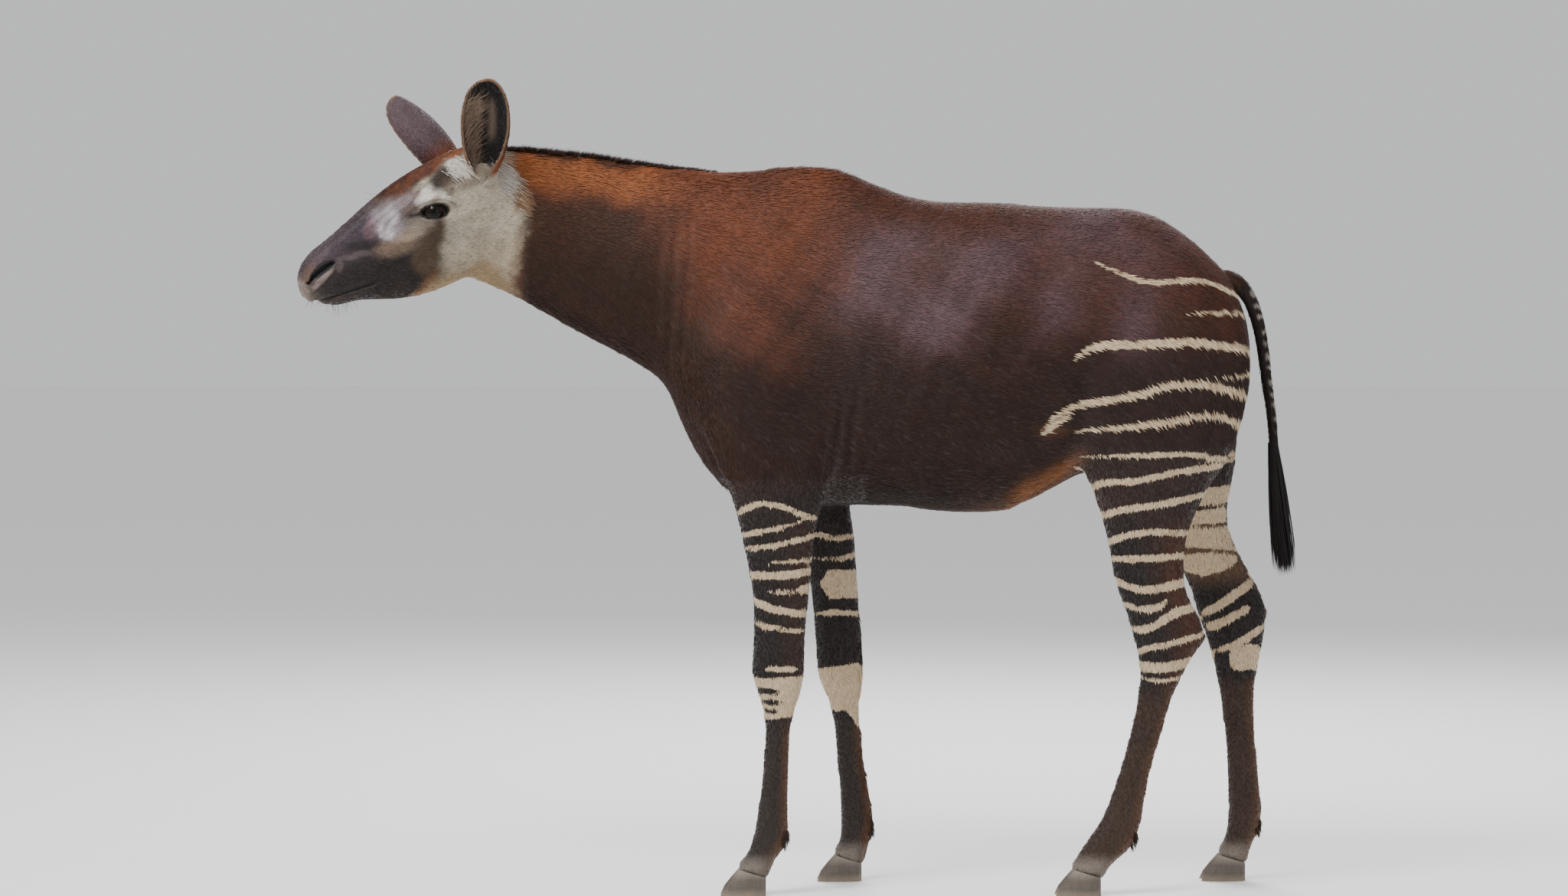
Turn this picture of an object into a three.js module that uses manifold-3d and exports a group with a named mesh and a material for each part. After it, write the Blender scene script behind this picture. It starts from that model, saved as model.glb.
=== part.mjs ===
// A female okapi, life size, standing square on with one hind leg forward, her neck stretched out
// level and her head turned a little to her left.
// Millimetres, +Z up, soles on Z = 0. She faces -X and her left side is towards -Y.

import * as THREE from "three";
import { mergeVertices } from "three/addons/utils/BufferGeometryUtils.js";
import Module from "manifold-3d";

const wasm = await Module();
wasm.setup();

// Driving sizes
const WITHERS_HEIGHT = 1503;
const CROUP_HEIGHT = 1410;
const BELLY_HALF_WIDTH = 232;
const NECK_HALF_WIDTH = 78;
const HEAD_HALF_WIDTH = 86;
const EYE_RADIUS = 25;
const EAR_LENGTH = 224;
const SOLE_LENGTH = 94;
const GAP = 0.3; // between nodes that touch

const LEFT = -1;
const RIGHT = 1;
const degrees = THREE.MathUtils.degToRad;

// Smooth values between knots

// Returns a function that runs through [place, value] knots without overshooting them.
function smooth(knots) {
  const last = knots.length - 1;
  const slope = knots.map(([x, v], i) => {
    if (i === 0 || i === last) return 0;
    const before = (v - knots[i - 1][1]) / (x - knots[i - 1][0]);
    const after = (knots[i + 1][1] - v) / (knots[i + 1][0] - x);
    return before * after <= 0 ? 0 : (2 * before * after) / (before + after);
  });
  return (x) => {
    if (x <= knots[0][0]) return knots[0][1];
    if (x >= knots[last][0]) return knots[last][1];
    const i = knots.findIndex(([place]) => place > x) - 1;
    const [x0, v0] = knots[i];
    const [x1, v1] = knots[i + 1];
    const h = x1 - x0;
    const t = (x - x0) / h;
    const even = t * t * (3 - 2 * t);
    const lean = h * t * (1 - t) * ((1 - t) * slope[i] - t * slope[i + 1]);
    return v0 + (v1 - v0) * even + lean;
  };
}

// Turns rows of sizes, whose first number is the place along the form, into one function for each size.
function profiles(names, rows) {
  return Object.fromEntries(
    names.map((name, i) => [name, smooth(rows.map((row) => [row[0], row[i + 1]]))]),
  );
}

// Solids

function solid(geometry) {
  const bare = geometry.clone();
  bare.deleteAttribute("normal");
  bare.deleteAttribute("uv");
  const merged = mergeVertices(bare, 1e-3);
  const triVerts = new Uint32Array(merged.index.array);
  const vertProperties = merged.attributes.position.array;
  const made = new wasm.Manifold(new wasm.Mesh({ numProp: 3, vertProperties, triVerts }));
  if (made.volume() > 0) return made;
  for (let i = 0; i < triVerts.length; i += 3)
    [triVerts[i + 1], triVerts[i + 2]] = [triVerts[i + 2], triVerts[i + 1]];
  return new wasm.Manifold(new wasm.Mesh({ numProp: 3, vertProperties, triVerts }));
}

const union = (pieces) => pieces.reduce((whole, piece) => whole.add(piece));

const largest = (made) =>
  made.decompose().reduce((best, piece) => (piece.volume() > best.volume() ? piece : best));

// A closed form whose skin at (t along, angle round) is shape(t, angle), with flat ends.
function loft(sides, rings, shape, place = new THREE.Matrix4()) {
  const geometry = new THREE.CylinderGeometry(1, 1, 1, sides, rings);
  const position = geometry.attributes.position;
  for (let i = 0; i < position.count; i++) {
    const [x, y, z] = [position.getX(i), position.getY(i), position.getZ(i)];
    const t = 0.5 - y;
    const rim = Math.hypot(x, z) > 0.5;
    const point = rim ? shape(t, Math.atan2(z, x)) : middle(t, shape, sides);
    position.setXYZ(i, point.x, point.y, point.z);
  }
  return solid(geometry.applyMatrix4(place));
}

// The middle of the flat end of a loft.
function middle(t, shape, sides) {
  const sum = new THREE.Vector3();
  for (let i = 0; i < sides; i++) sum.add(shape(t, (i / sides) * 2 * Math.PI));
  return sum.divideScalar(sides);
}

const bend = (value, power) => Math.sign(value) * Math.abs(value) ** (2 / power);

// One point of an egg-shaped section: across is the half width, top and bottom its reach from the level
// where it is widest, and each half has its own fullness, where 2 is an ellipse and less is a ridge.
function egg(angle, across, top, bottom, full, low) {
  const up = Math.sin(angle);
  const power = up > 0 ? full : low;
  return [across * bend(Math.cos(angle), power), (up > 0 ? top : bottom) * bend(up, power)];
}

function ball(radii, centre, place = new THREE.Matrix4(), detail = [16, 10]) {
  const geometry = new THREE.SphereGeometry(1, ...detail).rotateX(Math.PI / 2);
  geometry.scale(...radii).translate(...centre);
  return solid(geometry.applyMatrix4(place));
}

function block(size, centre, turn = [0, 0, 0], place = new THREE.Matrix4()) {
  const matrix = new THREE.Matrix4().makeRotationFromEuler(new THREE.Euler(...turn));
  matrix.setPosition(...centre);
  return solid(new THREE.BoxGeometry(...size).applyMatrix4(matrix).applyMatrix4(place));
}

// A flat tapered lock of hair: it grows from root along lean, bends towards droop, and ends in a point.
function lock({ root, lean, droop, flat, length, width, thick }) {
  const tip = root.clone().addScaledVector(lean, length * 0.45).addScaledVector(droop, length * 0.6);
  const knee = root.clone().addScaledVector(lean, length * 0.5);
  const path = new THREE.QuadraticBezierCurve3(root, knee, tip);
  const across = smooth([[0, 0.6], [0.35, 1], [0.7, 0.7], [1, 0.06]]);
  return loft(4, 3, (t, angle) => {
    const along = path.getTangent(t);
    const wide = flat.clone().cross(along).normalize();
    const deep = along.clone().cross(wide).normalize();
    return path
      .getPoint(t)
      .addScaledVector(wide, (across(t) * width * Math.cos(angle)) / 2)
      .addScaledVector(deep, (across(t) * thick * Math.sin(angle)) / 2);
  });
}

let seed = 20;
function random() {
  seed = (seed * 1664525 + 1013904223) % 4294967296;
  return seed / 4294967296;
}
const vary = (share) => 1 + share * (2 * random() - 1);

// Torso: sections across the body from the breast to the buttocks.
// x, top of the back, underside, widest level, half width, fullness above and below
const TORSO = profiles(["top", "bottom", "level", "half", "full", "low"], [
  [-292, 1380, 1100, 1230, 55, 1.9, 1.9],
  [-262, 1450, 1000, 1180, 96, 1.8, 1.9],
  [-200, 1484, 882, 1120, 140, 1.7, 1.9],
  [-120, 1488, 806, 1090, 164, 1.6, 1.9],
  [15, WITHERS_HEIGHT, 786, 1070, 182, 1.5, 2],
  [105, 1488, 790, 1060, 198, 1.6, 2.1],
  [200, 1444, 789, 1050, 216, 1.75, 2.2],
  [300, 1421, 777, 1045, 229, 1.9, 2.2],
  [400, 1421, 775, 1050, BELLY_HALF_WIDTH, 2, 2.3],
  [490, 1414, 806, 1070, 222, 2, 2.5],
  [580, CROUP_HEIGHT, 852, 1110, 204, 1.95, 2.4],
  [690, CROUP_HEIGHT, 872, 1140, 196, 1.9, 2],
  [770, 1375, 886, 1140, 184, 1.9, 2],
  [850, 1310, 915, 1120, 152, 1.9, 2],
  [905, 1240, 956, 1100, 106, 1.9, 2],
  [935, 1160, 1010, 1085, 55, 2, 2],
]);
const TORSO_FRONT = -292;
const TORSO_BACK = 935;

const torsoLoft = loft(26, 28, (t, angle) => {
  const eased = 0.5 + (t - 0.5) * 0.65 - Math.cos(Math.PI * t) * 0.175;
  const x = TORSO_FRONT + (TORSO_BACK - TORSO_FRONT) * eased;
  const level = TORSO.level(x);
  const [across, up] = egg(
    angle, TORSO.half(x), TORSO.top(x) - level, level - TORSO.bottom(x), TORSO.full(x), TORSO.low(x),
  );
  return new THREE.Vector3(x, across, level + up);
});

// Neck: upright sections from behind the jaw to deep in the chest, drawn towards the left at the head.
const NECK = profiles(["top", "bottom", "level", "half", "side"], [
  [-690, 1528, 1262, 1420, 52, -40],
  [-600, 1534, 1214, 1400, 66, -26],
  [-540, 1527, 1180, 1380, 72, -18],
  [-440, 1517, 1124, 1340, NECK_HALF_WIDTH, -8],
  [-340, 1502, 1074, 1300, 98, -2],
  [-270, 1494, 1034, 1260, 122, 0],
  [-180, 1488, 960, 1210, 138, 0],
  [-90, 1478, 930, 1180, 140, 0],
]);
const NECK_FRONT = -690;
const NECK_BACK = -90;

const neckLoft = loft(22, 12, (t, angle) => {
  const x = NECK_FRONT + (NECK_BACK - NECK_FRONT) * t;
  const level = NECK.level(x);
  const [across, up] = egg(angle, NECK.half(x), NECK.top(x) - level, level - NECK.bottom(x), 1.7, 1.8);
  return new THREE.Vector3(x, NECK.side(x) + across, level + up);
});

// Head, in its own frame: x forward along the face, y to her left, z up, from between the ears.
const HEAD_PITCH = degrees(22);
const HEAD_YAW = degrees(21);
const HEAD_PLACE = new THREE.Matrix4()
  .makeTranslation(-631, -30, 1405)
  .multiply(new THREE.Matrix4().makeRotationZ(Math.PI + HEAD_YAW))
  .multiply(new THREE.Matrix4().makeRotationY(HEAD_PITCH));

const SKULL = profiles(["top", "bottom", "level", "half", "full"], [
  [-92, 100, -92, 10, 52, 1.9],
  [-30, 126, -98, 18, 70, 1.9],
  [30, 138, -92, 28, 82, 2],
  [80, 134, -84, 36, HEAD_HALF_WIDTH, 2.3],
  [125, 129, -80, 40, 82, 2.6],
  [180, 119, -76, 34, 69, 2.5],
  [237, 104, -72, 18, 54, 2.3],
  [298, 83, -62, 6, 44, 2.2],
  [345, 67, -53, 2, 40, 2.2],
  [385, 56, -50, 0, 39, 2.3],
  [413, 40, -47, -4, 34, 2.2],
  [431, 22, -38, -6, 24, 2],
  [440, 1, -17, -8, 6, 2],
]);
const SKULL_BACK = -92;
const SKULL_FRONT = 440;

function skullLoft(inset = 0) {
  return loft(22, 21, (t, angle) => {
    const x = SKULL_BACK + (SKULL_FRONT - inset - SKULL_BACK) * Math.sin((t * Math.PI) / 2) ** 0.9;
    const level = SKULL.level(x);
    const [across, up] = egg(
      angle, SKULL.half(x) - inset, SKULL.top(x) - level - inset, level - SKULL.bottom(x) - inset,
      SKULL.full(x), 2,
    );
    return new THREE.Vector3(x, across, level + up);
  }, HEAD_PLACE);
}

const JAW = profiles(["top", "bottom", "half"], [
  [-10, 30, -80, 44],
  [35, 30, -103, 58],
  [95, 20, -117, 62],
  [164, 0, -119, 55],
  [242, -14, -108, 44],
  [290, -20, -91, 37],
  [338, -26, -74, 34],
  [370, -30, -68, 31],
  [388, -34, -66, 25],
  [400, -42, -58, 13],
]);

const JAW_BACK = -10;
const JAW_FRONT = 400;
const jawLoft = loft(16, 16, (t, angle) => {
  const x = JAW_BACK + (JAW_FRONT - JAW_BACK) * t;
  const level = (JAW.top(x) + JAW.bottom(x)) / 2;
  const deep = (JAW.top(x) - JAW.bottom(x)) / 2;
  const [across, up] = egg(angle, JAW.half(x), deep, deep, 2.4, 2);
  return new THREE.Vector3(x, across, level + up);
}, HEAD_PLACE);

// The eye sits in an orbit that stands proud of the skull, under two lids round an almond opening.
const EYE = [123, 66, 41];
const ORBIT_RADII = [70, 48, 50];
const ORBIT_REACH = 95;
const EYE_OPENING = [27, 22, 15];
const EYE_SLANT = degrees(-14);
const sided = (side, [x, y, z]) => [x, -side * y, z];

function orbit(side) {
  const centre = [EYE[0] - 2, ORBIT_REACH - ORBIT_RADII[1], EYE[2] + 2];
  return ball(ORBIT_RADII, sided(side, centre), HEAD_PLACE, [18, 12]);
}

function eyeOpening(side) {
  const tilt = new THREE.Matrix4().makeRotationY(EYE_SLANT);
  const place = HEAD_PLACE.clone()
    .multiply(new THREE.Matrix4().makeTranslation(...sided(side, [EYE[0], EYE[1] + EYE_RADIUS, EYE[2]])))
    .multiply(tilt);
  return ball(EYE_OPENING, [0, 0, 0], place, [14, 8]);
}

const eyeball = (side, grow) =>
  ball(new Array(3).fill(EYE_RADIUS + grow), sided(side, EYE), HEAD_PLACE, [14, 10]);

// Each nostril is a slanting slit near the tip of the muzzle, with a full rim behind and below it.
function nostril(side, radii, depth) {
  const place = HEAD_PLACE.clone()
    .multiply(new THREE.Matrix4().makeTranslation(...sided(side, [388, depth, 20])))
    .multiply(new THREE.Matrix4().makeRotationZ(side * degrees(14)))
    .multiply(new THREE.Matrix4().makeRotationY(degrees(17)));
  return ball(radii, [0, 0, 0], place, [12, 8]);
}

// The line of the mouth is a groove between the lips, cut no deeper than the lips themselves.
const MOUTH_DEPTH = 5;
const mouthLine = block([104, 100, 2.6], [384, 0, -46.5], [0, degrees(-3), 0], HEAD_PLACE).subtract(
  skullLoft(MOUTH_DEPTH),
);

let head = union([
  skullLoft(), jawLoft, orbit(LEFT), orbit(RIGHT),
  nostril(LEFT, [38, 12, 14], 29), nostril(RIGHT, [38, 12, 14], 29),
]);
for (const side of [LEFT, RIGHT])
  head = head
    .subtract(eyeOpening(side))
    .subtract(nostril(side, [31, 12, 5.5], 41));
head = head.subtract(mouthLine);

// Ears: leaf-shaped cups on a thick root. The left one is upright and faces out, the right one
// points forward and faces away.
const EAR_SHAPE = profiles(["half", "wrap"], [
  [0, 21, 155],
  [0.12, 26, 135],
  [0.35, 42, 98],
  [0.6, 50, 78],
  [0.82, 44, 66],
  [0.94, 29, 58],
  [1, 9, 52],
]);
const EAR_THICKNESS = 4;

function ear({ root, lean, face }, grow = 0) {
  const up = lean.clone().normalize();
  const out = face.clone().addScaledVector(up, -face.dot(up)).normalize();
  const across = up.clone().cross(out);
  const thick = EAR_THICKNESS + 2 * grow;
  const cup = loft(20, 10, (t, angle) => {
    const round = (angle + 2 * Math.PI) % (2 * Math.PI);
    const outer = round < Math.PI;
    const wrap = degrees(EAR_SHAPE.wrap(t));
    const share = outer ? round / Math.PI : (2 * Math.PI - round) / Math.PI;
    const reach = EAR_SHAPE.half(t) / Math.sin(Math.min(wrap, Math.PI / 2));
    const turn = (2 * share - 1) * (wrap + (3 * grow) / reach);
    const wall = outer ? reach + grow : Math.max(reach + grow - thick, 1);
    const spine = root
      .clone()
      .addScaledVector(up, t * (EAR_LENGTH + 2 * grow) - grow)
      .addScaledVector(out, reach - 14 - 18 * Math.sin(Math.PI * t));
    return spine.addScaledVector(across, wall * Math.sin(turn)).addScaledVector(out, -wall * Math.cos(turn));
  });
  const place = new THREE.Matrix4().makeBasis(across, out, up).setPosition(root);
  return cup.add(ball([31 + grow, 29 + grow, 38 + grow], [0, 5, -2], place, [14, 8]));
}

const EARS = {
  left: {
    root: new THREE.Vector3(-637, -90, 1456),
    lean: new THREE.Vector3(14, -98, 204),
    face: new THREE.Vector3(-0.32, -0.94, -0.1),
  },
  right: {
    root: new THREE.Vector3(-692, 12, 1468),
    lean: new THREE.Vector3(-160, 40, 168),
    face: new THREE.Vector3(-0.5, 0.55, -0.6),
  },
};

// Legs: level sections from the body to the coronet, each from its front edge to its back edge.
// The half widths and the sideways places are alike on the left and the right.
const HIND_WIDTHS = profiles(["half", "side"], [
  [20, 30, 128],
  [66, 29, 128],
  [130, 29, 128],
  [190, 24, 128],
  [300, 21, 129],
  [400, 24, 130],
  [480, 33, 130],
  [560, 36, 130],
  [640, 40, 130],
  [720, 52, 128],
  [800, 70, 124],
  [890, 90, 119],
  [990, 100, 116],
  [1080, 100, 114],
  [1180, 88, 110],
  [1270, 66, 102],
  [1340, 36, 88],
]);
const FORE_WIDTHS = profiles(["half", "side"], [
  [20, 31, 122],
  [66, 30, 122],
  [125, 28, 121],
  [185, 22, 120],
  [280, 20, 120],
  [360, 22, 120],
  [440, 34, 120],
  [500, 33, 121],
  [600, 36, 122],
  [700, 43, 123],
  [790, 52, 124],
  [880, 60, 124],
  [980, 64, 122],
  [1090, 62, 120],
  [1200, 52, 110],
  [1300, 40, 88],
  [1360, 30, 66],
  [1400, 18, 50],
]);

// z, front, back. The feet are finished by the hoof, whose heel is at heel.
const LEGS = {
  leg_hind_left: {
    side: LEFT, widths: HIND_WIDTHS, heel: 619, top: 1340,
    edges: profiles(["front", "back"], [
      [10, 560, 619], [52, 561, 624], [80, 571, 660], [106, 586, 684], [142, 614, 699],
      [204, 640, 709], [267, 661, 722], [329, 678, 741], [391, 692, 757], [453, 699, 784],
      [500, 693, 812], [531, 682, 833], [560, 674, 824], [600, 658, 800], [640, 644, 789], [702, 633, 789],
      [764, 619, 806], [827, 597, 838], [889, 568, 880], [960, 544, 915], [1060, 545, 934],
      [1160, 566, 922], [1250, 596, 866], [1340, 650, 780],
    ]),
  },
  leg_hind_right: {
    side: RIGHT, widths: HIND_WIDTHS, heel: 938, top: 1340,
    edges: profiles(["front", "back"], [
      [10, 880, 938], [52, 882, 940], [80, 893, 951], [105, 902, 968], [145, 904, 972], [225, 902, 965],
      [305, 896, 958], [385, 887, 955], [449, 874, 963], [512, 856, 976], [566, 834, 984],
      [600, 826, 972], [640, 806, 950], [704, 772, 916], [760, 738, 899], [850, 690, 914],
      [960, 612, 930], [1060, 570, 936], [1160, 574, 922], [1250, 600, 866], [1340, 650, 780],
    ]),
  },
  leg_fore_left: {
    side: LEFT, widths: FORE_WIDTHS, heel: -63, top: 1400,
    edges: profiles(["front", "back"], [
      [10, -121, -63], [52, -120, -60], [80, -103, -46], [100, -93, -24], [127, -87, -19],
      [189, -77, -21], [267, -68, -18], [344, -64, -15], [368, -67, -10], [407, -75, 5],
      [438, -87, 12], [469, -91, 14], [510, -88, 15], [609, -92, 26], [656, -100, 31],
      [733, -116, 37], [788, -129, 52], [860, -158, 72], [960, -206, 96], [1060, -226, 108],
      [1180, -200, 106], [1300, -162, 84], [1400, -118, 44],
    ]),
  },
  leg_fore_right: {
    side: RIGHT, widths: FORE_WIDTHS, heel: 136, top: 1400,
    edges: profiles(["front", "back"], [
      [10, 78, 136], [52, 79, 139], [75, 88, 143], [98, 93, 157], [130, 93, 158], [161, 92, 154],
      [241, 86, 140], [321, 79, 131], [361, 73, 129], [385, 64, 130], [425, 48, 137],
      [480, 42, 136], [530, 36, 132], [592, 30, 131], [660, 18, 126], [736, 0, 120],
      [790, -34, 112], [860, -90, 108], [960, -170, 110], [1060, -214, 110],
      [1180, -200, 106], [1300, -162, 84], [1400, -118, 44],
    ]),
  },
};

const LIMB_FLOOR = 12;
const LIMB_FULLNESS = 2.15;

function limb({ side, widths, edges, top }) {
  return loft(12, 33, (t, angle) => {
    const z = LIMB_FLOOR + (top - LIMB_FLOOR) * (1 - t) ** 1.2;
    const [front, back] = [edges.front(z), edges.back(z)];
    return new THREE.Vector3(
      (front + back) / 2 + ((back - front) / 2) * bend(Math.cos(angle), LIMB_FULLNESS),
      side * widths.side(z) + widths.half(z) * bend(Math.sin(angle), LIMB_FULLNESS),
      z,
    );
  });
}

// What parts a leg from the body: the limb's own outline from the side, run out sideways past the flank.
const FLANK = 300;
const LIMB_MARGIN = 2;

function limbCutter({ side, widths, edges, top }, grow) {
  return loft(4, 26, (t, angle) => {
    const z = top + LIMB_MARGIN + grow - (top - LIMB_FLOOR + 2 * LIMB_MARGIN) * t;
    const behind = Math.cos(angle + Math.PI / 4) > 0;
    const outside = Math.sin(angle + Math.PI / 4) > 0 === side > 0;
    const inner = widths.side(z) - widths.half(z) - LIMB_MARGIN - grow;
    return new THREE.Vector3(
      behind ? edges.back(z) + LIMB_MARGIN + grow : edges.front(z) - LIMB_MARGIN - grow,
      side * (outside ? FLANK : inner),
      z,
    );
  });
}

// Hooves: two horn claws under each leg, parted by a cleft that opens towards the toes.
// The coronet, where hair gives way to horn, slopes down from front to back.
const CORONET_FRONT = 56;
const CORONET_SLOPE = degrees(17);
const CLAW_HALF_WIDTH = 16.5;
const CLEFT = 3;
const HOOF = profiles(["toe", "half"], [
  [0, 94, 1],
  [14, 88, 1.02],
  [40, 68, 0.94],
  [70, 46, 0.78],
]);

function claw({ side, widths, heel }, outer) {
  const centre = side * widths.side(0) + outer * (CLAW_HALF_WIDTH + CLEFT / 2);
  return loft(12, 4, (t, angle) => {
    const z = 70 * (1 - t);
    const length = (HOOF.toe(z) * SOLE_LENGTH) / 94;
    const along = (1 + Math.cos(angle)) / 2; // 0 at the heel, 1 at the toe
    const narrow = 1 - 0.45 * along ** 3;
    const splay = outer * (along ** 2 * 5 - z * 0.03);
    return new THREE.Vector3(
      heel - 1 - along * (length - 1),
      centre + splay + CLAW_HALF_WIDTH * HOOF.half(z) * narrow * bend(Math.sin(angle), 2.4),
      z,
    );
  });
}

function coronetPlane({ side, widths, heel }, above) {
  const size = [300, 200, 200];
  const front = heel - 60;
  const lift = above ? size[2] / 2 : GAP - size[2] / 2;
  const centre = [
    front + lift * Math.sin(CORONET_SLOPE), side * widths.side(0), CORONET_FRONT + lift * Math.cos(CORONET_SLOPE),
  ];
  return block(size, centre, [0, CORONET_SLOPE, 0]);
}

// Tail: a thin dock that hangs clear of the buttocks, and a tuft of long locks at its end.
const DOCK = new THREE.CatmullRomCurve3([
  new THREE.Vector3(862, 0, 1258),
  new THREE.Vector3(900, 0, 1250),
  new THREE.Vector3(928, 0, 1222),
  new THREE.Vector3(952, 2, 1155),
  new THREE.Vector3(968, 4, 1042),
  new THREE.Vector3(979, 5, 963),
  new THREE.Vector3(984, 6, 885),
]);
const dockRadius = smooth([[0, 23], [0.16, 20], [0.34, 15], [0.6, 11.5], [0.8, 9.5], [1, 9]]);

function dock(grow = 0) {
  return loft(10, 14, (t, angle) => {
    const along = DOCK.getTangent(t);
    const wide = new THREE.Vector3(0, 1, 0);
    const deep = along.clone().cross(wide).normalize();
    const radius = dockRadius(t) + grow;
    return DOCK.getPoint(t)
      .addScaledVector(wide, radius * Math.cos(angle))
      .addScaledVector(deep, radius * Math.sin(angle));
  });
}

const TUFT_ROOT = new THREE.Vector3(984, 6, 885).addScaledVector(DOCK.getTangent(1), GAP);
const TUFT_DROP = new THREE.Vector3(0.1, 0.01, -0.99).normalize();
const TUFT_SIDE = new THREE.Vector3(0, 1, 0);
const TUFT_BACK = new THREE.Vector3().crossVectors(DOCK.getTangent(1), TUFT_SIDE).negate();
const TUFT_LENGTH = 242;
const TUFT_LOCKS = 13;

function tuftCore() {
  const across = smooth([[0, 9], [0.3, 13], [0.7, 11], [1, 4]]);
  return loft(10, 5, (t, angle) => {
    const radius = across(t);
    return TUFT_ROOT.clone()
      .addScaledVector(TUFT_DROP, t * TUFT_LENGTH * 0.5)
      .addScaledVector(TUFT_BACK, radius * Math.cos(angle))
      .addScaledVector(TUFT_SIDE, radius * 0.8 * Math.sin(angle));
  });
}

function tuft() {
  const pieces = [tuftCore()];
  for (let i = 0; i < TUFT_LOCKS; i++) {
    const round = i * 2.4;
    const tier = i / (TUFT_LOCKS - 1);
    const out = new THREE.Vector3(Math.cos(round), 0.8 * Math.sin(round), 0);
    const root = TUFT_ROOT.clone()
      .addScaledVector(TUFT_DROP, 16 + 84 * tier)
      .addScaledVector(out, 7);
    const length = (TUFT_LENGTH - 22 - 50 * tier) * vary(0.14);
    pieces.push(lock({
      root,
      lean: TUFT_DROP.clone().addScaledVector(out, 0.13).normalize(),
      droop: TUFT_DROP.clone().addScaledVector(out, -0.03),
      flat: out,
      length,
      width: 17 * vary(0.2),
      thick: 7,
    }));
  }
  return union(pieces);
}

// Mane: a low, dark crest of short locks from behind the ears to the front of the withers.
const MANE_LOCKS = 26;
const MANE_FRONT = -584;
const MANE_BACK = -215;

function mane() {
  const pieces = [];
  for (let i = 0; i < MANE_LOCKS; i++) {
    const x = MANE_FRONT + ((MANE_BACK - MANE_FRONT) * i) / (MANE_LOCKS - 1);
    const row = (i % 3) - 1;
    const taper = 1 - 0.45 * (i / MANE_LOCKS) ** 2;
    pieces.push(lock({
      root: new THREE.Vector3(x, NECK.side(x) + row * 5, NECK.top(x) - 7 - 2 * Math.abs(row)),
      lean: new THREE.Vector3(0.45, row * 0.16, 0.87).normalize(),
      droop: new THREE.Vector3(0.95, row * 0.1, 0.25).normalize(),
      flat: new THREE.Vector3(0, 1, 0.02),
      length: 32 * taper * vary(0.12),
      width: 26,
      thick: 7,
    }));
  }
  return pieces;
}

// Part the animal into its named pieces

const limbs = Object.values(LEGS).map((leg) => limb(leg));
const body = union([torsoLoft, neckLoft, head, ...limbs]);
const neckBase = block([GAP, 600, 700], [-210, 0, 1260], [0, degrees(14.5), 0]);
const nape = block([GAP, 400, 420], [-612, -30, 1385], [0, degrees(4), degrees(9)]);
let trunk = body;
for (const leg of Object.values(LEGS)) trunk = trunk.subtract(limbCutter(leg, GAP));
const parted = trunk.subtract(neckBase).subtract(nape).decompose();
const middleX = (piece) => {
  const { min, max } = piece.boundingBox();
  return (min[0] + max[0]) / 2;
};
parted.sort((a, b) => b.volume() - a.volume());
const [headPiece, neckPiece, torsoPiece] = parted.slice(0, 3).sort((a, b) => middleX(a) - middleX(b));

const flesh = {
  torso: torsoPiece.subtract(dock(GAP)),
  neck: union([neckPiece, ...mane()]),
  head: headPiece,
  ear_left: ear(EARS.left),
  ear_right: ear(EARS.right),
  tail: dock(),
};
for (const name of ["left", "right"]) flesh.head = flesh.head.subtract(ear(EARS[name], 2 * GAP));
for (const side of [LEFT, RIGHT]) flesh.head = flesh.head.subtract(eyeball(side, GAP));
flesh.neck = flesh.neck.subtract(nape).subtract(neckBase);

const hooves = {};
for (const [name, leg] of Object.entries(LEGS)) {
  flesh[name] = body.intersect(limbCutter(leg, 0)).subtract(coronetPlane(leg, false));
  const foot = name.replace("leg", "hoof");
  for (const [which, outer] of [["outer", leg.side], ["inner", -leg.side]])
    hooves[foot + "_" + which] = claw(leg, outer).subtract(coronetPlane(leg, true));
}

// Finishes

const finish = (color, roughness) => new THREE.MeshStandardMaterial({ color, roughness, metalness: 0 });
const coat = finish(0x4a2618, 0.6);
const stripedCoat = finish(0x6b4a38, 0.65);
const faceCoat = finish(0x9b8c80, 0.65);
const earCoat = finish(0x3a2822, 0.7);
const tailCoat = finish(0x3b2c26, 0.65);
const tuftHair = finish(0x15100e, 0.6);
const horn = finish(0x5a5552, 0.5);
const eyeFinish = finish(0x0c0908, 0.1);

function meshOf(name, made, material) {
  const { numProp, vertProperties, triVerts } = largest(made).getMesh();
  const geometry = new THREE.BufferGeometry();
  geometry.setAttribute("position", new THREE.BufferAttribute(new Float32Array(vertProperties), numProp));
  geometry.setIndex(new THREE.BufferAttribute(new Uint32Array(triVerts), 1));
  geometry.computeVertexNormals();
  const mesh = new THREE.Mesh(geometry, material);
  mesh.name = name;
  return mesh;
}

const FLESH_FINISH = {
  torso: coat, neck: coat, head: faceCoat, ear_left: earCoat, ear_right: earCoat, tail: tailCoat,
};
const okapi = new THREE.Group();
for (const [name, made] of Object.entries(flesh))
  okapi.add(meshOf(name, made, FLESH_FINISH[name] ?? stripedCoat));
for (const [name, made] of Object.entries(hooves)) okapi.add(meshOf(name, made, horn));
okapi.add(meshOf("eye_left", eyeball(LEFT, 0), eyeFinish));
okapi.add(meshOf("eye_right", eyeball(RIGHT, 0), eyeFinish));
okapi.add(meshOf("tail_tuft", tuft(), tuftHair));

export default okapi;
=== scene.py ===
import math

import bmesh
import bpy
import numpy as np
from mathutils import Matrix, Vector


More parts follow.
